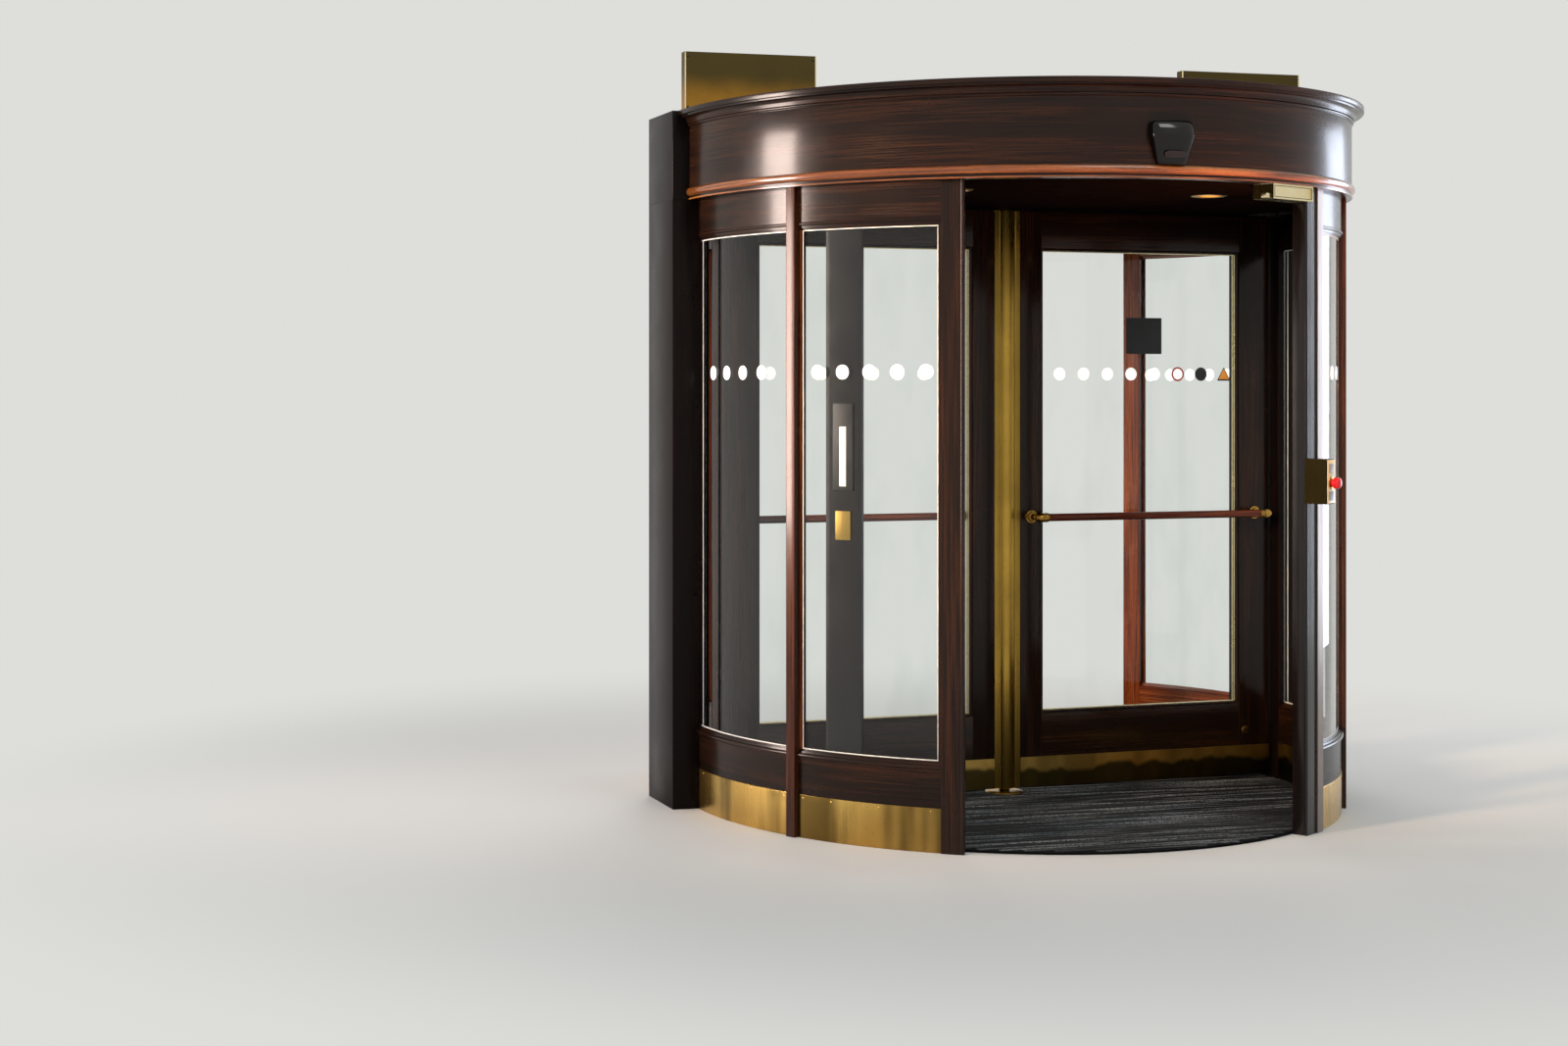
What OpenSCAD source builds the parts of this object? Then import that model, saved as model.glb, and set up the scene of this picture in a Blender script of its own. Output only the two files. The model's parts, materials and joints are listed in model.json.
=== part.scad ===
// Two-leaf revolving door in a round timber drum that stands half in and half
// out of a building wall. Millimetres. The origin lies on the axis of the
// rotor at floor level, -Y looks into the room and +Y into the street.

/* [Drum wall] */
// Outer radius of the curved wall
drum_r = 1236; // [1000:1:1600]
// Thickness of the curved wall
wall_t = 46; // [36:1:80]
// Height of the metal kick plate on the curved wall
kick_h = 150; // [80:1:260]
// Thickness of the metal kick plate
kick_t = 2; // [1:0.5:4]
// Height of the lower edge of the curved glass
sill_z = 296; // [270:1:500]
// Height of the upper edge of the curved glass
head_z = 2124; // [1900:1:2180]
// Thickness of the curved glass
drum_glass_t = 10; // [6:1:14]
// Distance of the glass from the outer face of the wall
glass_setback = 12; // [4:1:20]

// Radius of the round nose on the sill
nose_r = 9; // [5:1:10]
// Width and height of a step of the glazing beads
step = 6; // [4:1:6]

/* [Doorways] */
// Half angle of the doorway to the room, in degrees
room_half = 31.4; // [24:0.5:36]
// Half angle of the doorway to the street, in degrees
street_half = 50; // [44:0.5:56]
// Width of a jamb post at a doorway, measured along the wall
jamb_w = 76; // [50:1:120]
// Angle of the projecting rib from the middle of the room doorway
rib_angle = 61; // [57:0.5:66]
// Width of the projecting rib
rib_w = 40; // [25:1:60]
// Distance that the rib stands out from the wall
rib_out = 20; // [8:1:40]
// Distance that a jamb post stands out from the wall
jamb_out = 8; // [2:1:14]
// Angle of the lock post behind the glass
lock_post_angle = 52; // [46:0.5:53]
// Width of the lock post
lock_post_w = 140; // [80:1:150]

/* [Portal] */
// Depth of the portal posts, which is the thickness of the building wall
portal_depth = 310; // [200:1:500]
// Distance that a portal post reaches past the curved wall, to the side
portal_out = 102; // [84:1:460]

/* [Canopy] */
// Height of the underside of the canopy
canopy_z = 2262; // [2200:1:2320]
// Height of the canopy, from its underside to its top
canopy_h = 330; // [240:1:500]
// Distance that the fascia stands out from the curved wall
fascia_out = 38; // [10:1:60]
// Thickness of the fascia
fascia_t = 50; // [30:1:60]
// Height of the cornice moulding
cornice_h = 60; // [40:1:140]
// Distance that the cornice stands out from the fascia
cornice_out = 43; // [20:1:90]
// Diameter of the half-round bead at the foot of the fascia
bead_d = 30; // [20:1:60]
// Distance that the bead stands out from the fascia
bead_out = 12; // [8:1:15]
// Height of the underside of the bead above the underside of the canopy
bead_rise = 14; // [0:1:60]
// Thickness of the ceiling
ceiling_t = 18; // [10:1:30]
// Thickness of the roof deck
deck_t = 26; // [12:1:26]
// Distance of the downlights from the axis, along the building wall
downlight_x = 500; // [300:1:600]
// Distance of the downlights from the axis, across the building wall
downlight_y = 660; // [300:1:700]
// Radius of a ceiling downlight
downlight_r = 55; // [30:1:80]

/* [Closing panels] */
// Height of the closing panels above the canopy
closing_h = 223; // [100:1:600]
// Width of a closing panel
closing_w = 520; // [300:1:700]
// Distance from the outer edge of a closing panel to that of its portal post
closing_end = 50; // [20:1:140]
// Thickness of the closing panels
closing_t = 40; // [20:1:80]
// Height of the low strip between the closing panels
strip_h = 62; // [30:1:120]

/* [Rotor] */
// Angle at which the rotor stands at rest, in degrees
rest_turn = 3.3; // [0:0.1:20]
// Radius of the round centre post
post_r = 42; // [35:1:48]
// Half width of the flat bars of the centre post that hold the leaves
post_half = 56; // [50:1:70]
// Gap between the rotor and the wall, the ceiling and the floor mat
sweep_gap = 8; // [5:0.5:20]
// Length of the brush seals
brush = 9; // [5:1:20]
// Thickness of a leaf
leaf_t = 50; // [38:1:70]
// Width of the inner stile of a leaf
inner_stile_w = 92; // [60:1:140]
// Width of the outer stile of a leaf
outer_stile_w = 139; // [90:1:180]
// Height of the lower edge of the leaf glass
leaf_sill_z = 307; // [270:1:600]
// Height of the upper edge of the leaf glass
leaf_head_z = 2103; // [1900:1:2150]
// Thickness of the leaf glass
leaf_glass_t = 10; // [6:1:16]
// Height of the metal kick plate on a leaf
leaf_kick_h = 140; // [80:1:260]

/* [Push bars] */
// Height of the push bars
bar_z = 1067; // [900:1:1200]
// Diameter of the push bars
bar_d = 30; // [25:1:40]
// Distance from the face of the leaf to the centre of the bar
bar_off = 80; // [65:1:90]
// Diameter of the round roses
rose_d = 52; // [45:1:80]

/* [Floor] */
// Thickness of the floor mat
mat_t = 8; // [4:1:14]
// Radius of the round cover plates of the two bearings
cover_r = 74; // [68:1:90]

/* [Fittings] */
// Width of a motion sensor
sensor_w = 156; // [100:1:200]
// Height of a motion sensor
sensor_h = 146; // [80:1:170]
// Distance that a motion sensor stands out from the fascia
sensor_d = 50; // [30:1:60]
// Width of the box at the head of the right jamb
head_box_w = 240; // [150:1:300]
// Height of the box at the head of the right jamb
head_box_h = 52; // [40:1:70]
// Depth of the box at the head of the right jamb
head_box_d = 80; // [50:1:80]
// Width of the cable cover beside the right jamb
cable_w = 50; // [30:1:60]
// Thickness of the cable cover
cable_t = 14; // [10:1:20]
// Width of the control box on the right jamb
control_w = 63; // [50:1:70]
// Distance that the control box stands out from the wall
control_d = 89; // [50:1:110]
// Height of the control box
control_h = 157; // [100:1:200]
// Height of the lower end of the control box above the floor
control_z = 1160; // [900:1:1400]
// Diameter of the stop button
button_d = 40; // [30:1:45]
// Length of the stop button
button_l = 36; // [20:1:45]

/* [Hidden] */
$fn = 96;

timber = [0.22, 0.08, 0.04];
dark_timber = [0.12, 0.05, 0.03];
brass = "goldenrod";
black = [0.06, 0.06, 0.06];

// How far a cut reaches past what it cuts, and the gap between two pieces that
// stand against each other.
cut = 1;
joint_gap = 0.1;

inner_r = drum_r - wall_t;
glass_r = drum_r - glass_setback;
glass_back_r = glass_r - drum_glass_t;
fascia_r = drum_r + fascia_out;
fascia_in = fascia_r - fascia_t;
canopy_top = canopy_z + canopy_h;
cornice_z = canopy_top - cornice_h;
bead_z = canopy_z + bead_rise;
sensor_z = bead_z + bead_d;
portal_x = drum_r + portal_out;
closing_out = portal_x - closing_end;
closing_in = closing_out - closing_w;

// Sizes of the rotor. A leaf runs along +X before the rotor is turned to rest.
tip_r = inner_r - sweep_gap;
stile_r = tip_r - brush;
brush_t = 8;
leaf_foot = mat_t + sweep_gap + brush;
leaf_top = canopy_z - sweep_gap - brush;
leaf_glass_in = post_half + inner_stile_w;
leaf_glass_out = stile_r - outer_stile_w;
rose_in = post_half + inner_stile_w / 2;
rose_out = stile_r - outer_stile_w / 2;

// The pins of the rotor and the bearings that hold them, and the gap between
// the floor mat and the wall.
mat_gap = 2;
pivot_r = 20;
pivot_fit = 0.05;
pivot_end = 1;
bearing_r = 62;
cover_t = 5;

// Corner bead of a jamb post, how far its centre lies inside the corner, and
// how far it stops short of the ends of the post.
corner_r = 7;
corner_in = 4;
corner_end = 1;

// Middle of the control box, measured as an angle from the room side.
control_angle = room_half + 0.8;

// Degrees that a length takes up along a circle of radius r.
function arc_deg(len, r) = len / r * 180 / PI;

function doorway_half(room) = room ? room_half : street_half;
function jamb_end(room) = doorway_half(room) + arc_deg(jamb_w, drum_r);

// Turns a section from angle a0 to a1, counted from the room side towards +X.
module sweep(a0, a1) {
    rotate([0, 0, a0 - 90])
        rotate_extrude(angle = a1 - a0, $fn = 360)
            children();
}

module ring_piece(r0, r1, z0, z1, a0, a1) {
    sweep(a0, a1)
        translate([r0, z0])
            square([r1 - r0, z1 - z0]);
}

// Puts a piece at an angle from the room side, with -Y as its outer side.
module at_angle(a) {
    rotate([0, 0, a]) children();
}

// Places a piece that is drawn in the right room quadrant in another quadrant.
module quadrant(right, room) {
    mirror([right ? 0 : 1, 0, 0])
        mirror([0, room ? 0 : 1, 0])
            children();
}

module both_sides(room) {
    quadrant(true, room) children();
    quadrant(false, room) children();
}

// The space that the building wall and its portal posts take up, from their
// room face to their street face, or that much before and after them.
module portal_zone(before = 0, after = 0) {
    translate([-2 * portal_x, -before, -cut])
        cube([4 * portal_x, portal_depth + before + after, canopy_top + 2 * cut]);
}

// A piece of curved wall of one quadrant, from its jamb to the portal.
module wall_run(room) {
    difference() {
        sweep(jamb_end(room), 90 - arc_deg(joint_gap, inner_r)) children();
        if (room) rib_board(cut);
        else mirror([0, 1, 0]) portal_zone(cut, joint_gap);
    }
}

// Stepped beads that hold the curved glass: two steps outside, one inside.
module glazing_steps() {
    translate([glass_r, 0]) {
        square([2 * step, step]);
        square([step, 2 * step]);
    }
    translate([glass_back_r - step, 0])
        square([step, 2 * step]);
}

// Section of the base: board, round sill nose with a fillet, glazing steps.
module base_section() {
    translate([inner_r, 0])
        square([wall_t, sill_z]);
    translate([drum_r, sill_z - nose_r - cut])
        circle(r = nose_r, $fn = 48);
    translate([drum_r, sill_z - 2 * nose_r - step])
        square([step / 2, 1.5 * step]);
    translate([0, sill_z])
        glazing_steps();
}

module head_section() {
    translate([inner_r, head_z])
        square([wall_t, canopy_z - head_z - joint_gap]);
    translate([drum_r, head_z + nose_r])
        circle(r = step, $fn = 12);
    translate([0, head_z])
        mirror([0, 1])
            glazing_steps();
}

module wall_glass(room) {
    wall_run(room)
        translate([glass_back_r, sill_z])
            square([drum_glass_t, head_z - sill_z]);
}

module kick_plate(room) {
    wall_run(room)
        translate([drum_r, 0])
            square([kick_t, kick_h]);
}

// An upright bead in front of the curved glass, from angle a0 to a1.
module upright_bead(a0, a1) {
    ring_piece(glass_r, glass_r + step, sill_z + 2 * step, head_z - 2 * step, a0, a1);
}

// The round bead on the doorway corner of a jamb post.
module corner_bead(room) {
    at_angle(doorway_half(room) + arc_deg(corner_in, drum_r))
        translate([0, corner_in - drum_r - jamb_out, corner_end])
            cylinder(r = corner_r, h = canopy_z - 2 * corner_end, $fn = 48);
}

module jamb(room) {
    ring_piece(inner_r, drum_r + jamb_out, 0, canopy_z, doorway_half(room), jamb_end(room));
    corner_bead(room);
    upright_bead(jamb_end(room) - arc_deg(step, glass_r), jamb_end(room) + arc_deg(2 * step, glass_r));
}

// The radial board of one rib, from floor to canopy.
module rib_board(grow = 0) {
    at_angle(rib_angle)
        translate([-rib_w / 2, -drum_r - rib_out - grow, -grow])
            cube([rib_w, wall_t + rib_out + 2 * grow, canopy_z + 2 * grow]);
}

module rib() {
    half = arc_deg(rib_w / 2, glass_r);
    bead_a = arc_deg(2 * step, glass_r);
    rib_board();
    upright_bead(rib_angle + half, rib_angle + half + bead_a);
    upright_bead(rib_angle - half - bead_a, rib_angle - half);
}

// A lock post: a flat post behind the glass, between base and head rail.
module lock_post() {
    half = arc_deg(lock_post_w / 2, inner_r);
    difference() {
        ring_piece(inner_r, glass_back_r, sill_z, head_z, lock_post_angle - half, lock_post_angle + half);
        wall_run(true) base_section();
        wall_run(true) head_section();
    }
}

module portal_post() {
    difference() {
        translate([inner_r - wall_t, 0, 0])
            cube([portal_x - inner_r + wall_t, portal_depth, canopy_top]);
        translate([0, 0, -cut])
            cylinder(r = inner_r, h = canopy_z + cut, $fn = 360);
    }
}

// A disc with the hole for a pin of the rotor.
module bearing(r, h) {
    difference() {
        cylinder(r = r, h = h);
        translate([0, 0, -cut])
            cylinder(r = pivot_r + pivot_fit, h = h + 2 * cut);
    }
}

module floor_mat() color(black) {
    difference() {
        cylinder(r = inner_r - mat_gap, h = mat_t, $fn = 360);
        translate([0, 0, -cut])
            cylinder(r = bearing_r, h = mat_t + 2 * cut);
    }
}

module floor_bearing() color(brass) {
    bearing(bearing_r, mat_t);
    translate([0, 0, mat_t])
        bearing(cover_r, cover_t);
}

module portal_post_left() color(timber) mirror([1, 0, 0]) portal_post();
module portal_post_right() color(timber) portal_post();

module base_room_left() color(timber) quadrant(false, true) wall_run(true) base_section();
module base_room_right() color(timber) quadrant(true, true) wall_run(true) base_section();
module bases_street() color(timber) both_sides(false) wall_run(false) base_section();

module head_rail_room_left() color(timber) quadrant(false, true) wall_run(true) head_section();
module head_rail_room_right() color(timber) quadrant(true, true) wall_run(true) head_section();
module head_rails_street() color(timber) both_sides(false) wall_run(false) head_section();

module wall_glass_room_left() color("lightcyan", 0.4) quadrant(false, true) wall_glass(true);
module wall_glass_room_right() color("lightcyan", 0.4) quadrant(true, true) wall_glass(true);
module wall_glass_street() color("lightcyan", 0.4) both_sides(false) wall_glass(false);

module jamb_room_left() color(timber) quadrant(false, true) jamb(true);
module jamb_room_right() color(timber) quadrant(true, true) jamb(true);
module jambs_street() color(timber) both_sides(false) jamb(false);

module kick_plates_room() color(brass) both_sides(true) kick_plate(true);
module kick_plates_street() color(brass) both_sides(false) kick_plate(false);

module ribs() color(timber) both_sides(true) rib();
module lock_posts() color(dark_timber) both_sides(true) lock_post();

// A moulding that follows the canopy, cut where it dies into the portal.
module canopy_ring() {
    difference() {
        rotate_extrude($fn = 360) children();
        portal_zone();
    }
}

module fascia() color(timber) {
    canopy_ring()
        translate([fascia_in, canopy_z])
            square([fascia_t, cornice_z - canopy_z]);
}

// Section of the cornice: a small astragal, a fillet, a cove and a square top
// lip that stands out in two steps.
module cornice_section() {
    astragal_r = cornice_h / 10;
    lip_h = cornice_h * 0.3;
    fillet_out = cornice_out / 5;
    cove_r = cornice_h - 2 * astragal_r - lip_h - 2 * step;
    translate([fascia_in, cornice_z])
        square([fascia_t, cornice_h]);
    translate([fascia_r, cornice_z + astragal_r + cut])
        circle(r = astragal_r, $fn = 12);
    translate([fascia_r, cornice_z + 2 * astragal_r])
        square([fillet_out, cornice_h - 2 * astragal_r]);
    translate([fascia_r + fillet_out, canopy_top - lip_h - step - cove_r])
        difference() {
            square(cove_r);
            translate([cove_r, 0])
                circle(r = cove_r - cut, $fn = 64);
        }
    translate([fascia_r, canopy_top - lip_h - step])
        square([fillet_out + cove_r + step / 2, step]);
    translate([fascia_r, canopy_top - lip_h])
        square([cornice_out, lip_h]);
}

module cornice() color(timber) canopy_ring() cornice_section();

// The half-round bead of the fascia and the thin rim at its lower edge.
module bead() color([0.45, 0.18, 0.08]) {
    canopy_ring()
        intersection() {
            translate([fascia_r - bead_d / 2 + bead_out, bead_z + bead_d / 2])
                circle(d = bead_d, $fn = 48);
            translate([fascia_r, bead_z])
                square([bead_d, bead_d]);
        }
    canopy_ring()
        translate([fascia_r, canopy_z])
            square([step / 2, step]);
}

module portal_posts() {
    for (side = [0, 1])
        mirror([side, 0, 0])
            portal_post();
}

module downlight_places() {
    for (x = [-1, 1], y = [-1, 1])
        translate([x * downlight_x, y * downlight_y, canopy_z])
            children();
}

module ceiling() color(timber) {
    difference() {
        translate([0, 0, canopy_z])
            cylinder(r = fascia_in, h = ceiling_t, $fn = 360);
        portal_posts();
        translate([0, 0, canopy_z - cut])
            cylinder(r = bearing_r, h = ceiling_t + 2 * cut);
        downlight_places()
            translate([0, 0, -cut])
                cylinder(r = downlight_r, h = ceiling_t + 2 * cut);
    }
}

module ceiling_bearing() color(brass) {
    translate([0, 0, canopy_z])
        bearing(bearing_r, ceiling_t);
    translate([0, 0, canopy_z - cover_t])
        bearing(cover_r, cover_t);
}

module roof_deck() color([0.25, 0.2, 0.16]) {
    difference() {
        translate([0, 0, canopy_top - deck_t])
            cylinder(r = fascia_in, h = deck_t, $fn = 360);
        portal_posts();
    }
}

// A round ceiling lamp: a rim below the ceiling and a lamp set back in it.
module downlights() color("white") {
    rim_w = downlight_r / 5;
    rim_t = step / 2;
    downlight_places()
        rotate_extrude() {
            translate([0, ceiling_t / 2])
                square([downlight_r, ceiling_t / 2]);
            translate([downlight_r - rim_w, 0])
                square([rim_w, ceiling_t]);
            translate([downlight_r - rim_w, -rim_t])
                square([2 * rim_w, rim_t]);
        }
}

// Cladding above the canopy: a tall panel on each side and a low strip.
module closing_panels() color(brass) {
    closing_y = closing_t / 4;
    for (side = [0, 1])
        mirror([side, 0, 0])
            translate([closing_in, closing_y, canopy_top])
                cube([closing_w, closing_t, closing_h]);
    translate([-closing_in, closing_y, canopy_top])
        cube([2 * closing_in, closing_t, strip_h]);
}

// A motion sensor: tapered towards its foot, with a face that slopes back
// below the knee. The two outlines are its front view and its side view.
module motion_sensor() {
    knee = sensor_h * 0.45;
    foot_w = sensor_w * 0.76;
    shoulder_w = sensor_w * 0.92;
    difference() {
        translate([0, -fascia_r, sensor_z])
            intersection() {
                rotate([90, 0, 0])
                    linear_extrude(2 * sensor_d, center = true)
                        polygon([[-foot_w / 2, 0], [foot_w / 2, 0], [sensor_w / 2, knee],
                                 [shoulder_w / 2, sensor_h], [-shoulder_w / 2, sensor_h], [-sensor_w / 2, knee]]);
                rotate([90, 0, -90])
                    linear_extrude(sensor_w, center = true)
                        polygon([[-sensor_d, 0], [sensor_d * 0.55, 0], [sensor_d, knee],
                                 [sensor_d * 0.8, sensor_h], [-sensor_d, sensor_h]]);
            }
        cylinder(r = fascia_r, h = canopy_top, $fn = 360);
    }
}

module motion_sensors() color(black) {
    quadrant(true, true) motion_sensor();
    quadrant(true, false) motion_sensor();
}

// The box at the head of the right jamb, with a face set back in a border.
module head_box() color(brass) {
    border = head_box_h / 6;
    face_in = step / 2;
    at_angle(room_half - asin(head_box_w / 2 / inner_r) - 0.3)
        translate([-head_box_w / 2, -inner_r - head_box_d, canopy_z - head_box_h])
            difference() {
                cube([head_box_w, head_box_d, head_box_h]);
                translate([border, -cut, border])
                    cube([head_box_w - 2 * border, face_in + cut, head_box_h - 2 * border]);
            }
}

// The flat cover over the cable beside the right jamb, from floor to canopy.
module cable_cover() color([0.55, 0.45, 0.4]) {
    a0 = jamb_end(true);
    difference() {
        ring_piece(drum_r - cut, drum_r + cable_t, 0, canopy_z, a0, a0 + arc_deg(cable_w, drum_r));
        wall_run(true) base_section();
        wall_run(true) head_section();
        kick_plate(true);
    }
}

// The control box stands out from the right jamb. Its outer end has a plate.
module control_box() color(brass) {
    plate_t = step / 2;
    difference() {
        at_angle(control_angle) {
            translate([-control_w / 2, plate_t - drum_r - control_d, control_z])
                cube([control_w, control_d, control_h]);
            translate([plate_t - control_w / 2, -drum_r - control_d, control_z + plate_t])
                cube([control_w - 2 * plate_t, 2 * plate_t, control_h - 2 * plate_t]);
        }
        cylinder(r = drum_r + jamb_out, h = canopy_z, $fn = 360);
        corner_bead(true);
    }
}

// A mushroom button: a neck in a ring, and a cap with a rounded front.
module stop_button() color("red") {
    neck_d = button_d * 0.7;
    neck_l = button_l / 3;
    dome_r = button_d * 0.85;
    at_angle(control_angle)
        translate([0, -drum_r - control_d, control_z + control_h * 0.47])
            rotate([90, 0, 0]) {
                cylinder(d = neck_d, h = neck_l);
                intersection() {
                    translate([0, 0, neck_l])
                        cylinder(d = button_d, h = button_l - neck_l);
                    translate([0, 0, button_l - dome_r])
                        sphere(r = dome_r);
                }
            }
}

// Everything on the rotor is drawn along X and turned to where it rests.
module on_rotor() {
    rotate([0, 0, rest_turn]) children();
}

// Places a piece of the right leaf on the right or the left leaf.
module leaf_side(right) {
    on_rotor() rotate([0, 0, right ? 0 : 180]) children();
}

// The centre post: a round tube, flat bars for the leaves and two end pins.
module centre_post() color(brass) on_rotor() {
    translate([0, 0, leaf_foot]) {
        cylinder(r = post_r, h = leaf_top - leaf_foot);
        translate([-post_half, -leaf_t / 2, 0])
            cube([2 * post_half, leaf_t, leaf_top - leaf_foot]);
    }
    translate([0, 0, pivot_end])
        cylinder(r = pivot_r, h = canopy_z + ceiling_t - 2 * pivot_end);
}

module leaf_stiles() {
    translate([post_half, -leaf_t / 2, leaf_foot])
        cube([inner_stile_w, leaf_t, leaf_top - leaf_foot]);
    translate([leaf_glass_out, -leaf_t / 2, leaf_foot])
        cube([outer_stile_w, leaf_t, leaf_top - leaf_foot]);
}

module leaf_rails() {
    span = leaf_glass_out - leaf_glass_in;
    translate([leaf_glass_in, -leaf_t / 2, leaf_foot])
        cube([span, leaf_t, leaf_sill_z - leaf_foot]);
    translate([leaf_glass_in, -leaf_t / 2, leaf_head_z])
        cube([span, leaf_t, leaf_top - leaf_head_z]);
}

module leaf_glass() {
    translate([leaf_glass_in, -leaf_glass_t / 2, leaf_sill_z])
        cube([leaf_glass_out - leaf_glass_in, leaf_glass_t, leaf_head_z - leaf_sill_z]);
}

// A frame of width w that lines the glass opening, between two depths.
module opening_frame(w, y0, y1) {
    span = leaf_glass_out - leaf_glass_in;
    height = leaf_head_z - leaf_sill_z;
    translate([leaf_glass_in, y0, leaf_sill_z])
        difference() {
            cube([span, y1 - y0, height]);
            translate([w, -cut, w])
                cube([span - 2 * w, y1 - y0 + 2 * cut, height - 2 * w]);
        }
}

// The stepped beads that hold the glass of a leaf, on both of its faces.
module glazing_beads() {
    face = leaf_glass_t / 2;
    for (side = [0, 1])
        mirror([0, side, 0]) {
            opening_frame(2 * step, face, face + step);
            opening_frame(step, face, leaf_t / 2 - step / 2);
        }
}

module leaf_right_stiles() color(timber) leaf_side(true) leaf_stiles();
module leaf_left_stiles() color(timber) leaf_side(false) leaf_stiles();
module leaf_right_rails() color(timber) leaf_side(true) leaf_rails();
module leaf_left_rails() color(timber) leaf_side(false) leaf_rails();
module leaf_right_glass() color("lightcyan", 0.4) leaf_side(true) leaf_glass();
module leaf_left_glass() color("lightcyan", 0.4) leaf_side(false) leaf_glass();

module leaf_glazing_beads() color(brass) {
    leaf_side(true) glazing_beads();
    leaf_side(false) glazing_beads();
}

module leaf_kick_plates() color(brass) {
    for (right = [true, false], y = [-leaf_t / 2 - kick_t, leaf_t / 2])
        leaf_side(right)
            translate([post_half, y, leaf_foot])
                cube([stile_r - post_half, kick_t, leaf_kick_h - leaf_foot]);
}

// One end of a push bar: a stepped rose, a stem with a ring, and a knob with
// collars around the bar. Z runs from the bar towards the leaf.
module bar_end() {
    rose_t = step;
    stem_d = bar_d * 0.6;
    sphere(d = bar_d * 1.3, $fn = 48);
    cylinder(d = stem_d, h = bar_off);
    translate([0, 0, bar_off / 2])
        cylinder(d = stem_d * 1.5, h = rose_t);
    translate([0, 0, bar_off - 2 * rose_t])
        cylinder(d = rose_d * 0.6, h = 2 * rose_t);
    translate([0, 0, bar_off - rose_t])
        cylinder(d = rose_d, h = rose_t);
}

// A push bar on two stems, on the face of a leaf that is pushed.
module push_bar() {
    collar_l = bar_d / 3;
    collar_gap = bar_d * 0.6;
    translate([0, -leaf_t / 2 - bar_off, bar_z]) {
        translate([rose_in, 0, 0])
            rotate([0, 90, 0]) {
                cylinder(d = bar_d, h = rose_out - rose_in);
                for (z = [collar_gap, rose_out - rose_in - collar_gap - collar_l])
                    translate([0, 0, z])
                        cylinder(d = bar_d * 1.25, h = collar_l);
            }
        for (x = [rose_in, rose_out])
            translate([x, 0, 0])
                rotate([-90, 0, 0])
                    bar_end();
    }
}

module leaf_right_push_bar() color(brass) leaf_side(true) push_bar();
module leaf_left_push_bar() color(brass) leaf_side(false) push_bar();

// Brush seals round the foot, the outer edge and the top of each leaf.
module leaf_seals() color(black) {
    brush_in = cover_r + sweep_gap;
    for (right = [true, false])
        leaf_side(right)
            difference() {
                translate([brush_in, -brush_t / 2, leaf_foot - brush])
                    cube([tip_r - brush_in, brush_t, leaf_top - leaf_foot + 2 * brush]);
                translate([0, -brush_t, leaf_foot])
                    cube([stile_r, 2 * brush_t, leaf_top - leaf_foot]);
            }
}

floor_mat();
floor_bearing();
portal_post_left();
portal_post_right();
base_room_left();
base_room_right();
bases_street();
head_rail_room_left();
head_rail_room_right();
head_rails_street();
wall_glass_room_left();
wall_glass_room_right();
wall_glass_street();
jamb_room_left();
jamb_room_right();
jambs_street();
kick_plates_room();
kick_plates_street();
ribs();
lock_posts();
fascia();
cornice();
bead();
ceiling();
ceiling_bearing();
roof_deck();
downlights();
closing_panels();
motion_sensors();
head_box();
cable_cover();
control_box();
stop_button();
centre_post();
leaf_right_stiles();
leaf_right_rails();
leaf_left_stiles();
leaf_left_rails();
leaf_right_glass();
leaf_left_glass();
leaf_glazing_beads();
leaf_kick_plates();
leaf_right_push_bar();
leaf_left_push_bar();
leaf_seals();
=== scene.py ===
"""Looks of a two-leaf revolving door in a round mahogany drum.

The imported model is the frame. Pieces whose edges, mouldings or brushes need a
finer surface are worked out here with numpy, and the rest of the frame gets
its finish. Lengths are in metres. The origin lies on the axis of the rotor at
floor level, -Y looks into the room and +Y into the street.
"""
import sys
import json
import logging
import math
from dataclasses import dataclass, field
from enum import Enum

import bmesh
import bpy
import numpy as np
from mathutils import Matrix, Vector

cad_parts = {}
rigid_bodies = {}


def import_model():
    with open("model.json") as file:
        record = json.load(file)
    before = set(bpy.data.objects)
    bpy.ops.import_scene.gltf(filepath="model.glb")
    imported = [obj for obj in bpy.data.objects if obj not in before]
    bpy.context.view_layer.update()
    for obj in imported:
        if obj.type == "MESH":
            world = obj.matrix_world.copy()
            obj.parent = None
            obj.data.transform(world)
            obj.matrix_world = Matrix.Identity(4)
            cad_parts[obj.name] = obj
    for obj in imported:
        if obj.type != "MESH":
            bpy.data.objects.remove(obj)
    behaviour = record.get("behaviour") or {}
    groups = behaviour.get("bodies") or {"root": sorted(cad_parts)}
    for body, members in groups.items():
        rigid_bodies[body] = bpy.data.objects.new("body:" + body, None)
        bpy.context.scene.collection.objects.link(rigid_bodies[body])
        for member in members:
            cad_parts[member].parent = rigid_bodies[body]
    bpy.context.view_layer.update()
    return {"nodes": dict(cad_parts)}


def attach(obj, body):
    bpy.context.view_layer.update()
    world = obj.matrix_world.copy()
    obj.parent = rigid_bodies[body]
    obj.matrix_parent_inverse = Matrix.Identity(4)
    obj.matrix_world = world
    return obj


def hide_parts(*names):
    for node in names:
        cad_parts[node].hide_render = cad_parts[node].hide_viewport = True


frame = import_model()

LOG = logging.getLogger("revolving_door")
MM = 0.001
DRUM, ROTOR = "drum", "rotor"


# ---------------------------------------------------------------- materials

def linear(hex_colour: str) -> tuple[float, float, float, float]:
    """Turns an sRGB hex colour into the linear colour that a shader takes.

    Args:
        hex_colour: colour such as "#3a1a10".

    Returns:
        Linear red, green, blue and an alpha of 1.
    """
    part = np.array([int(hex_colour[i:i + 2], 16) for i in (1, 3, 5)]) / 255
    low, high = part / 12.92, ((part + 0.055) / 1.055) ** 2.4
    return (*np.where(part <= 0.04045, low, high).tolist(), 1.0)


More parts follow.
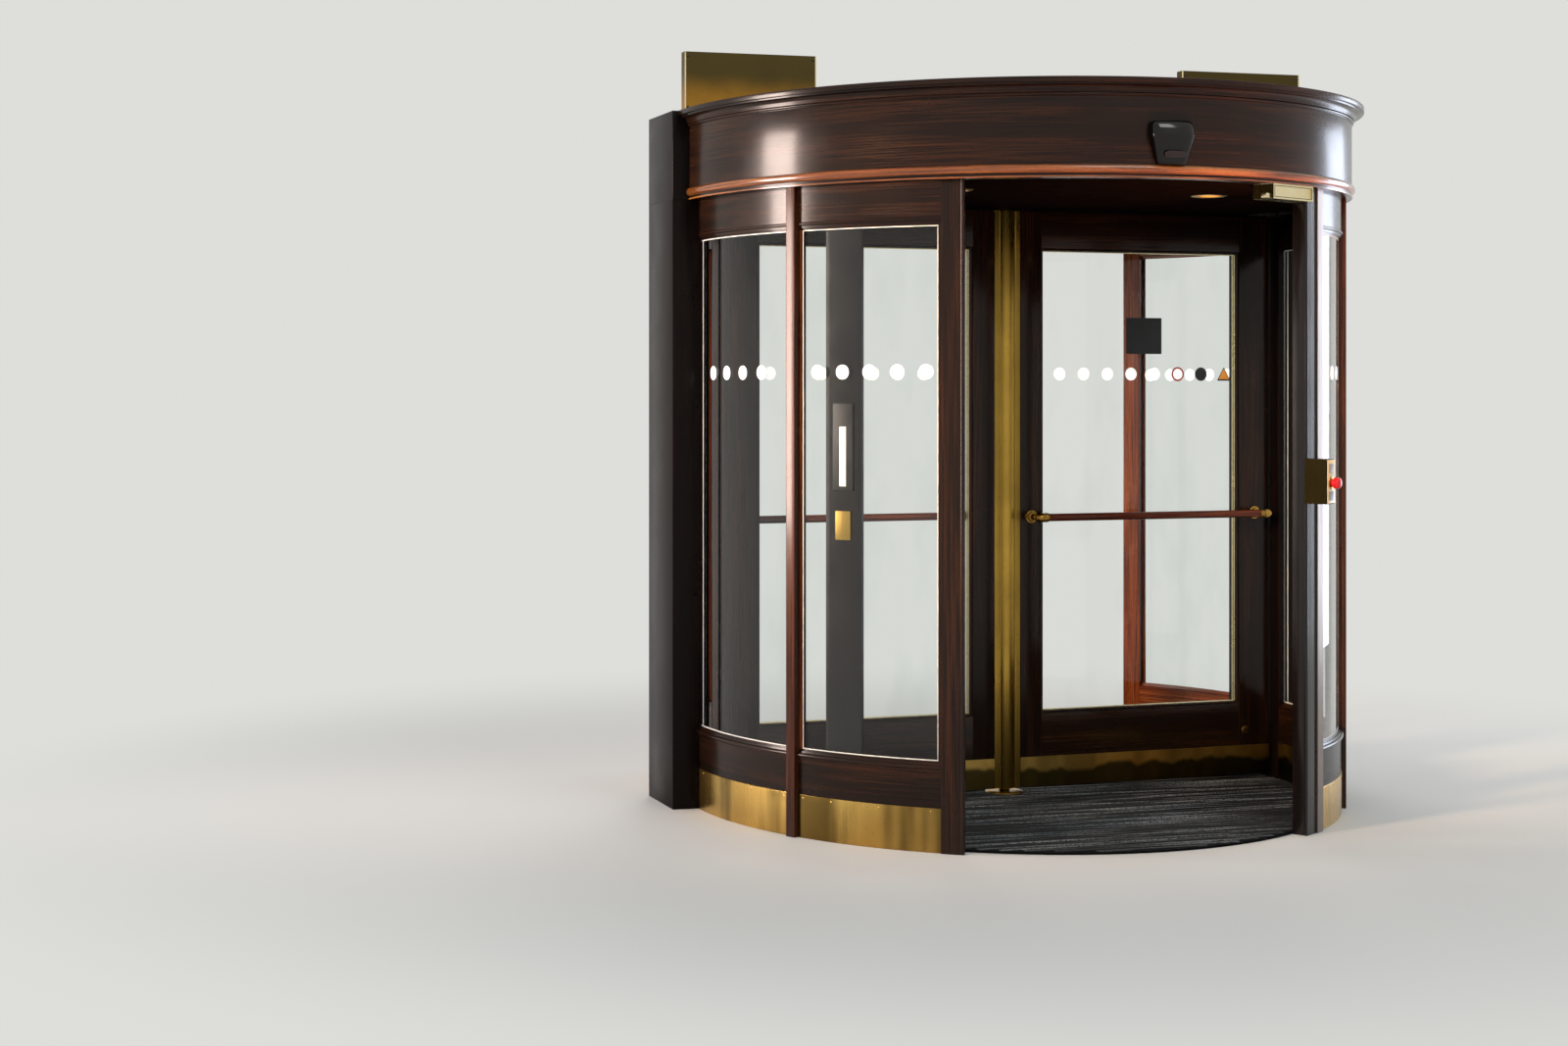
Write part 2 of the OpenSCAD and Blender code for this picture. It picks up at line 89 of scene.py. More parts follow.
class Shader:
    """The node tree of one material."""

    def __init__(self, name: str) -> None:
        """Starts an empty material of that name."""
        self.material = bpy.data.materials.new(name)
        self.material.use_nodes = True
        self.tree = self.material.node_tree
        self.tree.nodes.clear()
        self.place = self.add("TexCoord", output="Object")

    def add(self, kind: str, inputs: dict | None = None, output: int | str = 0,
            **settings: object) -> bpy.types.NodeSocket | None:
        """Adds a node with its settings and links.

        Args:
            kind: the node's type without "ShaderNode".
            inputs: a number, a hex colour or another node's socket for each input.
            output: the output that is wanted.
            settings: properties of the node.

        Returns:
            That output, or None for a node that has none.
        """
        node = self.tree.nodes.new("ShaderNode" + kind)
        for key, value in settings.items():
            setattr(node, key, value)
        for key, value in (inputs or {}).items():
            if isinstance(value, bpy.types.NodeSocket):
                self.tree.links.new(value, node.inputs[key])
            else:
                node.inputs[key].default_value = linear(value) if isinstance(value, str) else value
        return node.outputs[output] if node.outputs else None

    def finish(self, surface: bpy.types.NodeSocket) -> bpy.types.Material:
        """Ends the material with that surface."""
        self.add("OutputMaterial", {"Surface": surface})
        return self.material


class Grain(Enum):
    """How the grain of a timber piece runs."""

    UPRIGHT = "upright"
    ROUND = "round"
    LEAF = "leaf"
    CROSS = "cross"


@dataclass(frozen=True)
class Mahogany:
    """Mahogany, stained dark, grain filled and polished to a high gloss.

    To the eye: near black brown in shade with a red depth, long streaks of
    lighter grain, short dark pores and a wet-looking coat that mirrors lamps.
    """

    name: str
    grain: Grain
    dark: str = "#0a0605"
    red: str = "#1b0f09"
    light: str = "#3c2212"
    rough: float = 0.24
    coat: float = 0.14
    relief: float = 1.0
    shine: float = 0.16
    rest_turn: float = 3.3

    def along_the_grain(self, shader: Shader) -> bpy.types.NodeSocket:
        """Returns a vector whose X runs along the grain, in metres."""
        if self.grain is Grain.CROSS:
            return shader.place
        if self.grain is Grain.LEAF:
            turn = (0.0, 0.0, -math.radians(self.rest_turn))
            return shader.add("Mapping", {"Vector": shader.place, "Rotation": turn})
        part = shader.add("SeparateXYZ", {0: shader.place}).node.outputs
        if self.grain is Grain.UPRIGHT:
            return shader.add("CombineXYZ", {0: part[2], 1: part[0], 2: part[1]})
        # Along a curved board runs the angle, times the drum's radius of 1.25 m.
        side = shader.add("Math", {0: part[1]}, operation="ABSOLUTE")
        angle = shader.add("Math", {0: part[0], 1: side}, operation="ARCTAN2")
        arc = shader.add("Math", {0: angle, 1: 1.25}, operation="MULTIPLY")
        flat = shader.add("CombineXYZ", {0: part[0], 1: part[1]})
        radius = shader.add("VectorMath", {0: flat}, "Value", operation="LENGTH")
        return shader.add("CombineXYZ", {0: arc, 1: radius, 2: part[2]})

    def material(self) -> bpy.types.Material:
        """Builds the material."""
        shader = Shader(self.name)
        grain = self.along_the_grain(shader)
        layers = {}
        # Streaks per metre along and across the grain: ribbons about 60 mm
        # wide, ripples 22 mm, streaks 7 mm, pores 1.5 mm wide and 20 mm long.
        for key, along, across, detail in (
                ("ribbon", 0.9, 17.0, 2.0), ("ripple", 0.3, 45.0, 1.0), ("streak", 3.2, 190.0, 5.0),
                ("pore", 48.0, 650.0, 1.0)):
            spread = shader.add("Mapping", {"Vector": grain, "Scale": (along, across, across)})
            layers[key] = shader.add("TexNoise", {
                "Vector": spread, "Scale": 1.0, "Detail": detail, "Roughness": 0.6})
        tone = shader.add("MapRange", {0: layers["streak"], 1: 0.36, 2: 0.68})
        glow = shader.add("MapRange", {0: layers["ribbon"], 1: 0.42, 2: 0.72, 4: 0.7})
        glow = shader.add("Math", {0: glow, 1: tone}, operation="MULTIPLY")
        pore = shader.add("MapRange", {0: layers["pore"], 1: 0.3, 2: 0.42, 3: 0.55, 4: 1.0})
        base = self.dark
        for share, colour, blend in (
                (tone, self.red, "MIX"), (glow, self.light, "MIX"), (1.0, pore, "MULTIPLY")):
            base = shader.add("Mix", {0: share, 6: base, 7: colour}, 2, data_type="RGBA",
                              blend_type=blend)
        # Shoes and mops dull the polish on the lowest 200 mm.
        height = shader.add("SeparateXYZ", {0: shader.place}, 2)
        low = shader.add("MapRange", {0: height, 1: 0.2, 2: 0.0})
        cloud = shader.add("TexNoise", {"Vector": shader.place, "Scale": 7.0, "Detail": 4.0})
        scuff = shader.add("Math", {0: low, 1: cloud}, operation="MULTIPLY")
        gloss = shader.add("MapRange", {
            0: cloud, 1: 0.3, 2: 0.7, 3: self.rough - 0.04, 4: self.rough + 0.04})
        rough = shader.add("Math", {0: scuff, 1: 0.35, 2: gloss}, operation="MULTIPLY_ADD")
        bump = shader.add("Bump", {
            "Strength": 0.6, "Distance": 0.25 * MM * self.relief, "Height": layers["ripple"]})
        bump = shader.add("Bump", {
            "Strength": 0.25, "Distance": 0.3 * MM * self.relief, "Height": layers["streak"],
            "Normal": bump})
        return shader.finish(shader.add("BsdfPrincipled", {
            "Base Color": base, "Roughness": rough, "Normal": bump,
            "Specular IOR Level": self.shine, "Coat Weight": self.coat, "Coat Roughness": 0.12}))


@dataclass(frozen=True)
class PolishedBrass:
    """Yellow brass sheet and bar, polished by hand and darkening with age.

    To the eye: warm gold where it mirrors light, olive brown where it mirrors
    the dark room, with cloudy finger marks and fine polishing lines. Upright
    olive bands and a dark foot are painted into the colour as reflections.
    """

    name: str
    bright: str = "#dcb868"
    aged: str = "#a9823f"
    lines: tuple[float, float, float] = (260.0, 260.0, 5.0)
    low_rough: float = 0.10
    high_rough: float = 0.24
    specks: float = 0.12
    clean_below: float = 8.0
    dark_above: float = 9.0
    # Strength of the painted reflection bands.
    reflection_bands: float = 0.0
    # Height of the painted mat reflection's upper limit; -1 m leaves it off.
    mat_reflection_top: float = -1.0

    def material(self) -> bpy.types.Material:
        """Builds the material."""
        shader = Shader(self.name)
        place = shader.place
        cloud = shader.add("TexNoise", {
            "Vector": place, "Scale": 3.0, "Detail": 3.0, "Roughness": 0.5})
        spread = shader.add("Mapping", {"Vector": place, "Scale": self.lines})
        line = shader.add("TexNoise", {"Vector": spread, "Scale": 1.0, "Detail": 2.0})
        spot = shader.add("TexNoise", {"Vector": place, "Scale": 60.0, "Detail": 3.0})
        age = shader.add("MapRange", {0: cloud, 1: 0.3, 2: 0.8})
        speck = shader.add("MapRange", {0: spot, 1: 0.62, 2: 0.74, 4: self.specks})
        # Painted reflection: upright dark olive bands are painted into the colour,
        # standing in for a room mirrored in a bent sheet.
        upright_room = shader.add("Mapping", {"Vector": place, "Scale": (5.0, 5.0, 0.5)})
        reflection_band = shader.add("TexNoise", {"Vector": upright_room, "Scale": 1.0, "Detail": 3.0})
        reflection_band = shader.add("MapRange", {0: reflection_band, 1: 0.42, 2: 0.6, 4: self.reflection_bands},
                          interpolation_type="SMOOTHSTEP")
        # The colour darkens towards the upper edge of a sheet, with a wavy limit.
        height = shader.add("SeparateXYZ", {0: place}, 2)
        wavy = shader.add("Math", {0: cloud, 1: 0.1, 2: height}, operation="MULTIPLY_ADD")
        high = shader.add("MapRange", {0: wavy, 1: self.clean_below, 2: self.dark_above, 4: 0.9},
                          interpolation_type="SMOOTHSTEP")
        # Painted reflection: the foot of a sheet is painted dark olive where it
        # would mirror the dark mat, with a wavy upper limit 22 mm deep.
        foot = shader.add("Math", {0: reflection_band, 1: 0.05, 2: height}, operation="MULTIPLY_ADD")
        foot = shader.add("MapRange", {
            0: foot, 1: self.mat_reflection_top, 2: self.mat_reflection_top + 0.022, 3: 0.9, 4: 0.0},
            interpolation_type="SMOOTHSTEP")
        base = self.bright
        for share, colour in ((age, self.aged), (speck, "#5a4320"), (reflection_band, "#4a3b1d"),
                              (high, "#3d3a24"), (foot, "#2c2813")):
            base = shader.add("Mix", {0: share, 6: base, 7: colour}, 2, data_type="RGBA")
        rough = shader.add("MapRange", {
            0: cloud, 1: 0.3, 2: 0.75, 3: self.low_rough, 4: self.high_rough})
        rough = shader.add("Math", {0: line, 1: 0.1, 2: rough}, operation="MULTIPLY_ADD")
        bump = shader.add("Bump", {"Strength": 0.12, "Distance": 0.1 * MM, "Height": line})
        return shader.finish(shader.add("BsdfPrincipled", {
            "Base Color": base, "Metallic": 1.0, "Roughness": rough, "Normal": bump}))


@dataclass(frozen=True)
class FloatGlass:
    """Clear float glass, 10 mm thick, with polished edges.

    To the eye: a faint cool green, sharp reflections and a few wiping marks.
    The reflections are weaker than those of bare glass, because the whole
    pale studio is mirrored and would veil the dark timber behind.
    """

    name: str
    tint: str = "#fafcfb"
    wiped: str = "#eff4f2"

    def material(self) -> bpy.types.Material:
        """Builds the material, which lets the light of lamps through."""
        shader = Shader(self.name)
        spread = shader.add("Mapping", {"Vector": shader.place, "Scale": (3.0, 3.0, 1.2)})
        wipe = shader.add("TexNoise", {"Vector": spread, "Scale": 2.0, "Detail": 5.0})
        mark = shader.add("MapRange", {0: wipe, 1: 0.5, 2: 0.8})
        tone = shader.add("Mix", {0: mark, 6: self.tint, 7: self.wiped}, 2, data_type="RGBA")
        pane = shader.add("BsdfPrincipled", {
            "Base Color": tone, "Roughness": 0.0, "IOR": 1.26, "Transmission Weight": 1.0})
        clear = shader.add("BsdfTransparent", {"Color": self.tint})
        lamp_ray = shader.add("LightPath", None, "Is Shadow Ray")
        return shader.finish(shader.add("MixShader", {0: lamp_ray, 1: pane, 2: clear}))


@dataclass(frozen=True)
class Moulded:
    """Moulded plastic or rubber, film, fibre or a coat on metal, finely pitted.

    To the eye: one colour with a soft highlight that breaks up a little.
    """

    name: str
    colour: str
    shade: str
    roughness: float
    pit: float = 2.0 * MM
    depth: float = 0.02 * MM
    shine: float = 0.5
    glow: float = 0.0

    def material(self) -> bpy.types.Material:
        """Builds the material."""
        shader = Shader(self.name)
        place = shader.place
        pits = shader.add("TexNoise", {"Vector": place, "Scale": 1 / self.pit, "Detail": 2.0})
        cloud = shader.add("TexNoise", {"Vector": place, "Scale": 12.0, "Detail": 4.0})
        tone = shader.add("MapRange", {0: cloud, 1: 0.35, 2: 0.7})
        base = shader.add("Mix", {0: tone, 6: self.colour, 7: self.shade}, 2, data_type="RGBA")
        rough = shader.add("MapRange", {
            0: cloud, 1: 0.3, 2: 0.7, 3: self.roughness * 0.8, 4: self.roughness * 1.2})
        bump = shader.add("Bump", {"Strength": 0.4, "Distance": self.depth, "Height": pits})
        return shader.finish(shader.add("BsdfPrincipled", {
            "Base Color": base, "Roughness": rough, "Normal": bump,
            "Specular IOR Level": self.shine, "Emission Color": self.colour,
            "Emission Strength": self.glow}))


@dataclass(frozen=True)
class RibbedRubber:
    """Ribs of a rubber entrance mat, scuffed by shoes and with painted highlights.

    To the eye: black with thin grey streaks and grit along the ribs, drawn
    about 35 mm wide so that they show from across a room. The streaks are
    partly scuffs and partly painted highlights for glints on the ribs.
    """

    name: str
    dark: str = "#07080a"
    scuff_and_glint: str = "#767d84"

    def material(self) -> bpy.types.Material:
        """Builds the material."""
        shader = Shader(self.name)
        place = shader.place
        spread = shader.add("Mapping", {"Vector": place, "Scale": (1.6, 29.4, 1.0)})
        streak = shader.add("TexNoise", {"Vector": spread, "Scale": 1.0, "Detail": 4.0})
        grit = shader.add("TexNoise", {"Vector": place, "Scale": 140.0, "Detail": 2.0})
        # Painted highlights and scuffs: light grey streaks along the ribs.
        glint_and_wear = shader.add("MapRange", {0: streak, 1: 0.46, 2: 0.66})
        speck = shader.add("MapRange", {0: grit, 1: 0.35, 2: 0.6})
        glint_and_wear = shader.add("Math", {0: glint_and_wear, 1: speck, 2: 0.04}, operation="MULTIPLY_ADD")
        base = shader.add("Mix", {0: glint_and_wear, 6: self.dark, 7: self.scuff_and_glint}, 2, data_type="RGBA")
        bump = shader.add("Bump", {"Strength": 0.4, "Distance": 0.2 * MM, "Height": grit})
        return shader.finish(shader.add("BsdfPrincipled", {
            "Base Color": base, "Roughness": 0.6, "Normal": bump, "Specular IOR Level": 0.2}))


@dataclass(frozen=True)
class BronzeStrip:
    """Bronze-anodised aluminium strip.

    To the eye: a satin grey brown with fine drawing lines along its length.
    """

    name: str
    colour: str = "#8b7f78"
    drawn: str = "#665a53"

    def material(self) -> bpy.types.Material:
        """Builds the material."""
        shader = Shader(self.name)
        spread = shader.add("Mapping", {"Vector": shader.place, "Scale": (700.0, 700.0, 4.0)})
        line = shader.add("TexNoise", {"Vector": spread, "Scale": 1.0, "Detail": 2.0})
        rough = shader.add("MapRange", {0: line, 1: 0.3, 2: 0.7, 3: 0.26, 4: 0.42})
        base = shader.add("Mix", {0: line, 6: self.colour, 7: self.drawn}, 2, data_type="RGBA")
        return shader.finish(shader.add("BsdfPrincipled", {
            "Base Color": base, "Metallic": 0.9, "Roughness": rough}))


@dataclass(frozen=True)
class LampLens:
    """Frosted glass lens of a ceiling lamp, lit warm from behind."""

    name: str
    glass: str = "#f3e3c8"
    glow: str = "#ffd6a0"

    def material(self) -> bpy.types.Material:
        """Builds the material, whose glow varies in fine specks."""
        shader = Shader(self.name)
        grit = shader.add("TexNoise", {"Vector": shader.place, "Scale": 90.0})
        light = shader.add("MapRange", {0: grit, 1: 0.3, 2: 0.7, 3: 1.6, 4: 2.8})
        return shader.finish(shader.add("BsdfPrincipled", {
            "Base Color": self.glass, "Roughness": 0.45,
            "Emission Color": self.glow, "Emission Strength": light}))


Finish = Mahogany | PolishedBrass | FloatGlass | Moulded | RibbedRubber | BronzeStrip | LampLens


# ------------------------------------------------------------------ surfaces

# A grid of points, whether its columns close into a loop, and whether its ends are capped.
Sheet = tuple[np.ndarray, bool, bool]
Point = tuple[float, float, float]


def soften(outline: np.ndarray, radius: float, steps: int = 4) -> np.ndarray:
    """Rounds each corner of a closed outline.

    A corner P becomes the curve (1-t)^2 A + 2t(1-t) P + t^2 B, where A and B
    lie on the sides beside P, at the radius or at 45% of a shorter side.

    Args:
        outline: corners in order, one row each.
        radius: distance from a corner at which its curve begins.
        steps: points on each curve.

    Returns:
        The points of the rounded outline.
    """
    back, ahead = np.roll(outline, 1, 0) - outline, np.roll(outline, -1, 0) - outline
    ends = []
    for side in (back, ahead):
        length = np.linalg.norm(side, axis=1, keepdims=True)
        ends.append(outline + side * np.minimum(radius / length, 0.45))
    t = np.linspace(0, 1, steps)[None, :, None]
    a, p, b = (corner[:, None] for corner in (ends[0], outline, ends[1]))
    curve = (1 - t) ** 2 * a + 2 * t * (1 - t) * p + t ** 2 * b
    return curve.reshape(-1, outline.shape[1])


def mm(*corners: list[float]) -> np.ndarray:
    """An outline whose corners are given in millimetres."""
    return np.array(corners) * MM


def arc(centre: tuple[float, float], radius: float, start: float, end: float,
        steps: int = 12) -> np.ndarray:
    """Points of an arc: centre plus radius times (cos a, sin a), a in degrees."""
    a = np.radians(np.linspace(start, end, steps))
    return np.stack([centre[0] + radius * np.cos(a), centre[1] + radius * np.sin(a)], 1)


def on_drum(radius: np.ndarray, angle: np.ndarray, z: np.ndarray) -> np.ndarray:
    """Points at (r sin a, -r cos a, z), with the angle in degrees from the room side."""
    a = np.radians(angle)
    return np.stack(np.broadcast_arrays(radius * np.sin(a), -radius * np.cos(a), z), -1)


def ring(section: np.ndarray, start: np.ndarray | float, end: np.ndarray | float,
         step: float = 1.2) -> Sheet:
    """Carries a section round the drum.

    Point (r, z) of the section goes to angle a0 + t (a1 - a0), t from 0 to 1,
    where a0 and a1 may differ from point to point, so that an end is flat.

    Args:
        section: closed outline of (radius, height).
        start: first angle, in degrees from the room side.
        end: last angle.
        step: largest turn from one row to the next.

    Returns:
        A closed sheet with both ends capped.
    """
    a0, a1 = (np.broadcast_to(a, len(section)).astype(float) for a in (start, end))
    t = np.linspace(0, 1, int(np.ceil(np.max(a1 - a0) / step)) + 1)[:, None]
    return on_drum(section[None, :, 0], a0 + t * (a1 - a0), section[None, :, 1]), True, True


def upright(plan: np.ndarray, low: float, high: float, ease: float = 0.0) -> Sheet:
    """Carries a plan outline straight up.

    Row k of the sheet is the outline at height z_k, drawn in towards its
    middle by the ease at the two ends, so that their edges are rounded.

    Args:
        plan: closed outline of (x, y).
        low: lower end.
        high: upper end.
        ease: radius of the rounded end edges.

    Returns:
        A closed sheet with both ends capped.
    """
    middle = (plan.max(0) + plan.min(0)) / 2
    half = (plan.max(0) - plan.min(0)) / 2
    turn = np.linspace(0, np.pi / 2, 4) if ease else np.zeros(1)
    inset = ease * (1 - np.sin(turn))
    rise = ease * (1 - np.cos(turn))
    inset = np.concatenate([inset, inset[::-1]])
    z = np.concatenate([low + rise, (high - rise)[::-1]])
    flat = middle + (plan - middle) * (1 - inset[:, None, None] / half)
    height = np.broadcast_to(z[:, None, None], (*flat.shape[:2], 1))
    return np.concatenate([flat, height], 2), True, True


def lathe(profile: np.ndarray, angle: np.ndarray) -> np.ndarray:
    """Points (r cos a, r sin a, z), one row for each angle a in radians."""
    a, r = angle[:, None], profile[None, :, 0]
    return np.stack(np.broadcast_arrays(r * np.cos(a), r * np.sin(a), profile[None, :, 1]), -1)


def turned(profile: np.ndarray, steps: int = 40) -> Sheet:
    """Turns a profile of (radius, height) about the Z axis, as on a lathe."""
    points = lathe(profile, np.linspace(0, 2 * np.pi, steps, endpoint=False))
    return points.transpose(1, 0, 2), True, True


def closed_lathe(profile: np.ndarray, steps: int = 72) -> Sheet:
    """Turns a closed profile of (radius, height) about Z, for a piece with a bore."""
    return lathe(profile, np.linspace(0, 2 * np.pi, steps + 1)), True, False


def rectangle(x0: float, x1: float, y0: float, y1: float) -> np.ndarray:
    """The four corners of a rectangle."""
    return np.array([[x0, y0], [x1, y0], [x1, y1], [x0, y1]])


def sector(r0: float, r1: float, start: float, end: float, radius: float) -> np.ndarray:
    """Plan outline between two radii and two angles, with rounded corners."""
    angle = np.linspace(start, end, 9)
    outer = on_drum(np.full(9, r1), angle, np.zeros(9))[:, :2]
    inner = on_drum(np.full(9, r0), angle[::-1], np.zeros(9))[:, :2]
    return soften(np.concatenate([outer, inner]), radius, 3)


def placed(sheet: Sheet, turn: np.ndarray | None = None, shift: Point = (0, 0, 0),
           flip: tuple[int, int, int] = (1, 1, 1)) -> Sheet:
    """Turns, moves, then mirrors a sheet: (M p + s) times the flip."""
    points, loop, capped = sheet
    points = points if turn is None else points @ turn.T
    return (points + np.array(shift)) * np.array(flip), loop, capped


def mirrored(sheets: list[Sheet], room: bool = True) -> list[Sheet]:
    """Sheets of the right quadrant, and their mirror image on the left."""
    return [placed(s, flip=(x, 1 if room else -1, 1)) for x in (1, -1) for s in sheets]


def spin(angle: float) -> np.ndarray:
    """Matrix that turns by an angle in degrees about Z."""
    c, s = math.cos(math.radians(angle)), math.sin(math.radians(angle))
    return np.array([[c, -s, 0], [s, c, 0], [0, 0, 1]])


# Turns an axis from Z to X, from Z to Y, and from Z to the room side.
TO_X = np.array([[0.0, 0, 1], [0, 1, 0], [-1, 0, 0]])
TO_Y = np.array([[1.0, 0, 0], [0, 0, 1], [0, -1, 0]])
TO_ROOM = np.array([[1.0, 0, 0], [0, 0, -1], [0, 1, 0]])


def faced(sheet: Sheet, shift: Point, angle: float = 0.0) -> Sheet:
    """Points a sheet's Z at the room, moves it and turns it about the rotor's axis."""
    return placed(placed(sheet, TO_ROOM, shift), spin(angle))


class Workshop:
    """Turns sheets into pieces, gives them finishes and counts them."""

    def __init__(self) -> None:
        """Starts with no materials made."""
        self.made: dict[str, bpy.types.Material] = {}
        self.triangles = 0

    def finish(self, finish: Finish) -> bpy.types.Material:
        """The material of a finish, built once."""
        if finish.name not in self.made:
            self.made[finish.name] = finish.material()
        return self.made[finish.name]

    def dress(self, finish: Finish, *nodes: str) -> None:
        """Gives CAD nodes the material of a finish."""
        for node in nodes:
            thing = frame["nodes"][node]
            if not thing.material_slots:
                thing.data.materials.append(None)
            for slot in thing.material_slots:
                slot.link = "OBJECT"
                slot.material = self.finish(finish)

    def piece(self, name: str, sheets: list[Sheet], finish: Finish, slot: str, *stands_for: str,
              body: str = DRUM, sharp: float = 35.0) -> None:
        """Makes one piece from closed sheets.

        Args:
            name: name of the piece.
            sheets: grids of points, joined round their columns and capped.
            finish: finish of the piece.
            slot: material slot of the record; not used.
            stands_for: CAD nodes that it replaces.
            body: CAD body that it rides on.
            sharp: angle in degrees above which an edge is drawn sharp.
        """
        points, faces, caps, count = [], [], [], 0
        for grid, loop, capped in sheets:
            rows, columns = grid.shape[:2]
            index = np.arange(rows * columns).reshape(rows, columns) + count
            ahead = np.roll(index, -1, 1)
            quads = np.stack([index[:-1], ahead[:-1], ahead[1:], index[1:]], -1)
            faces.append(quads[:, :columns if loop else columns - 1].reshape(-1, 4))
            if capped:
                caps += [index[0].tolist(), index[-1].tolist()]
            points.append(grid.reshape(-1, 3))
            count += rows * columns
        mesh = bpy.data.meshes.new(name)
        mesh.from_pydata(np.concatenate(points), [], np.concatenate(faces).tolist() + caps)
        work = bmesh.new()
        work.from_mesh(mesh)
        bmesh.ops.remove_doubles(work, verts=work.verts, dist=1e-7)
        bmesh.ops.recalc_face_normals(work, faces=work.faces)
        work.to_mesh(mesh)
        work.free()
        mesh.shade_smooth()
        mesh.set_sharp_from_angle(angle=math.radians(sharp))
        thing = bpy.data.objects.new(name, mesh)
        bpy.context.scene.collection.objects.link(thing)
        mesh.materials.append(self.finish(finish))
        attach(thing, body)
        if stands_for:
            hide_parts(*stands_for)
        mesh.calc_loop_triangles()
        self.triangles += len(mesh.loop_triangles)
        LOG.info("%s: %d triangles on %s", name, len(mesh.loop_triangles), body)


# ------------------------------------------------------------------ finishes

UPRIGHT_MAHOGANY = Mahogany("mahogany_polished_upright", Grain.UPRIGHT)
ROUND_MAHOGANY = Mahogany("mahogany_polished_round", Grain.ROUND)
DARK_MAHOGANY = Mahogany("mahogany_ebonised_upright", Grain.UPRIGHT, "#060404", "#0d0706",
                         "#1a0e09", rough=0.3, coat=0.04, shine=0.08)
LEAF_MAHOGANY = Mahogany("mahogany_polished_leaf", Grain.LEAF)
# Painted light: the ribs get a lighter, warmer brown that stands in for the light on their lit
# faces.
RIB_MAHOGANY = Mahogany("mahogany_worn_rib", Grain.UPRIGHT, "#1c0d07", "#3d1e11", "#6e3d22")
# A nearly black copy of the mahogany: painted shade on the right jamb, whose
# left twin keeps the polished copy, and the dark colour of the lock posts.
BLACK_MAHOGANY = Mahogany("mahogany_black_stained", Grain.UPRIGHT, "#050404", "#0b0707", "#170d0a",
                          rough=0.22, coat=0.3, shine=0.3)
# Painted light: the street side gets a lighter orange copy of the mahogany, standing in for the sun
# that falls on it.
SUN_UPRIGHT = Mahogany("mahogany_bleached_upright", Grain.UPRIGHT, "#341609", "#662d12", "#995226")
SUN_ROUND = Mahogany("mahogany_bleached_round", Grain.ROUND, "#341609", "#662d12", "#995226")
# Painted light: the bead below the fascia gets a lighter, warmer copy of the mahogany, standing in
# for the light it catches.
BEAD_MAHOGANY = Mahogany("mahogany_light_round", Grain.ROUND, "#3c1f0c", "#74421a", "#b0763a",
                         rough=0.2, coat=0.4, relief=0.5, shine=0.5)
BRASS = PolishedBrass("brass_polished")
# Kick, leaf and post sheets get painted reflection bands of the given strength.
KICK_BRASS = PolishedBrass("brass_kick_sheet", "#dcb868", "#a9823f", lines=(200.0, 200.0, 6.0),
                           low_rough=0.14, high_rough=0.3, specks=0.2, reflection_bands=0.85)
# The leaf sheets and inner linings get a painted reflection of the dark mat on their lowest 95 mm.
LEAF_BRASS = PolishedBrass("brass_leaf_sheet", "#e2bd68", "#a9823f", lines=(200.0, 200.0, 6.0),
                           low_rough=0.28, high_rough=0.4, specks=0.2, reflection_bands=0.5, mat_reflection_top=0.095)
POST_BRASS = PolishedBrass("brass_post_tarnished", "#d4aa4c", "#8f7130", lines=(260.0, 260.0, 2.0),
                           low_rough=0.2, high_rough=0.34, specks=0.2, reflection_bands=0.5)
BAR_MAHOGANY = Mahogany("mahogany_handled_bar", Grain.LEAF, "#2a0f08", "#57240f", "#8a4522",
                        rough=0.2, coat=0.2)
BAR_BRASS = PolishedBrass("brass_handled_bar", "#c79a4a", "#6e4a20", lines=(260.0, 260.0, 260.0),
                          low_rough=0.12, high_rough=0.26)
PANEL_BRASS = PolishedBrass("brass_sheet_tarnished", "#a97c33", "#805a22",
                            lines=(420.0, 420.0, 3.0), low_rough=0.24, high_rough=0.4, specks=0.25,
                            clean_below=2.66, dark_above=2.8)
BOX_BRASS = PolishedBrass("brass_box_dark", "#3f3217", "#211a0d", low_rough=0.18, high_rough=0.32,
                          specks=0.25)
PALE_BRASS = PolishedBrass("brass_lacquered_pale", "#f0e2ba", "#d6c38c",
                           lines=(260.0, 260.0, 260.0), low_rough=0.16, high_rough=0.26)
BRONZE = BronzeStrip("bronze_anodised_strip")
GLASS = FloatGlass("glass_float_clear")
MAT_FIBRE = Moulded("mat_fibre_black", "#060708", "#0c0d10", roughness=0.9, depth=0.6 * MM,
                    shine=0.1)
MAT_RUBBER = RibbedRubber("mat_rubber_rib")
BLACK_ABS = Moulded("abs_black_gloss", "#030304", "#060607", roughness=0.12, pit=1.5 * MM,
                    shine=0.35)
LENS_ABS = Moulded("abs_smoked_window", "#0d0304", "#140506", roughness=0.06, depth=0.01 * MM)
RED_ABS = Moulded("abs_red_gloss", "#c8101a", "#a80c16", roughness=0.22, pit=1.5 * MM)
DARK_LACQUER = Moulded("lacquer_matt_ceiling", "#0b0808", "#120d0b", roughness=0.6, pit=3.0 * MM,
                       depth=0.0, shine=0.0)
DARK_STEEL = Moulded("steel_powder_coated_black", "#0b0a0a", "#151212", roughness=0.38,
                     pit=0.8 * MM, depth=0.08 * MM)
GREY_PLATE = Moulded("switch_plate_grey", "#8d9093", "#7c8084", roughness=0.35, pit=1.2 * MM,
                     depth=0.04 * MM)
NICKEL_PLATE = Moulded("nickel_satin_plate", "#dfe5ea", "#c8ced3", roughness=0.3, pit=1.5 * MM,
                       depth=0.04 * MM)
CREAM_PLATE = Moulded("enamel_cream", "#e2d3a4", "#cdbb86", roughness=0.32, pit=1.5 * MM,
                      depth=0.04 * MM)
SEAL = Moulded("silicone_seal_pale", "#d5dadc", "#c2c9cc", roughness=0.35, pit=1.5 * MM)
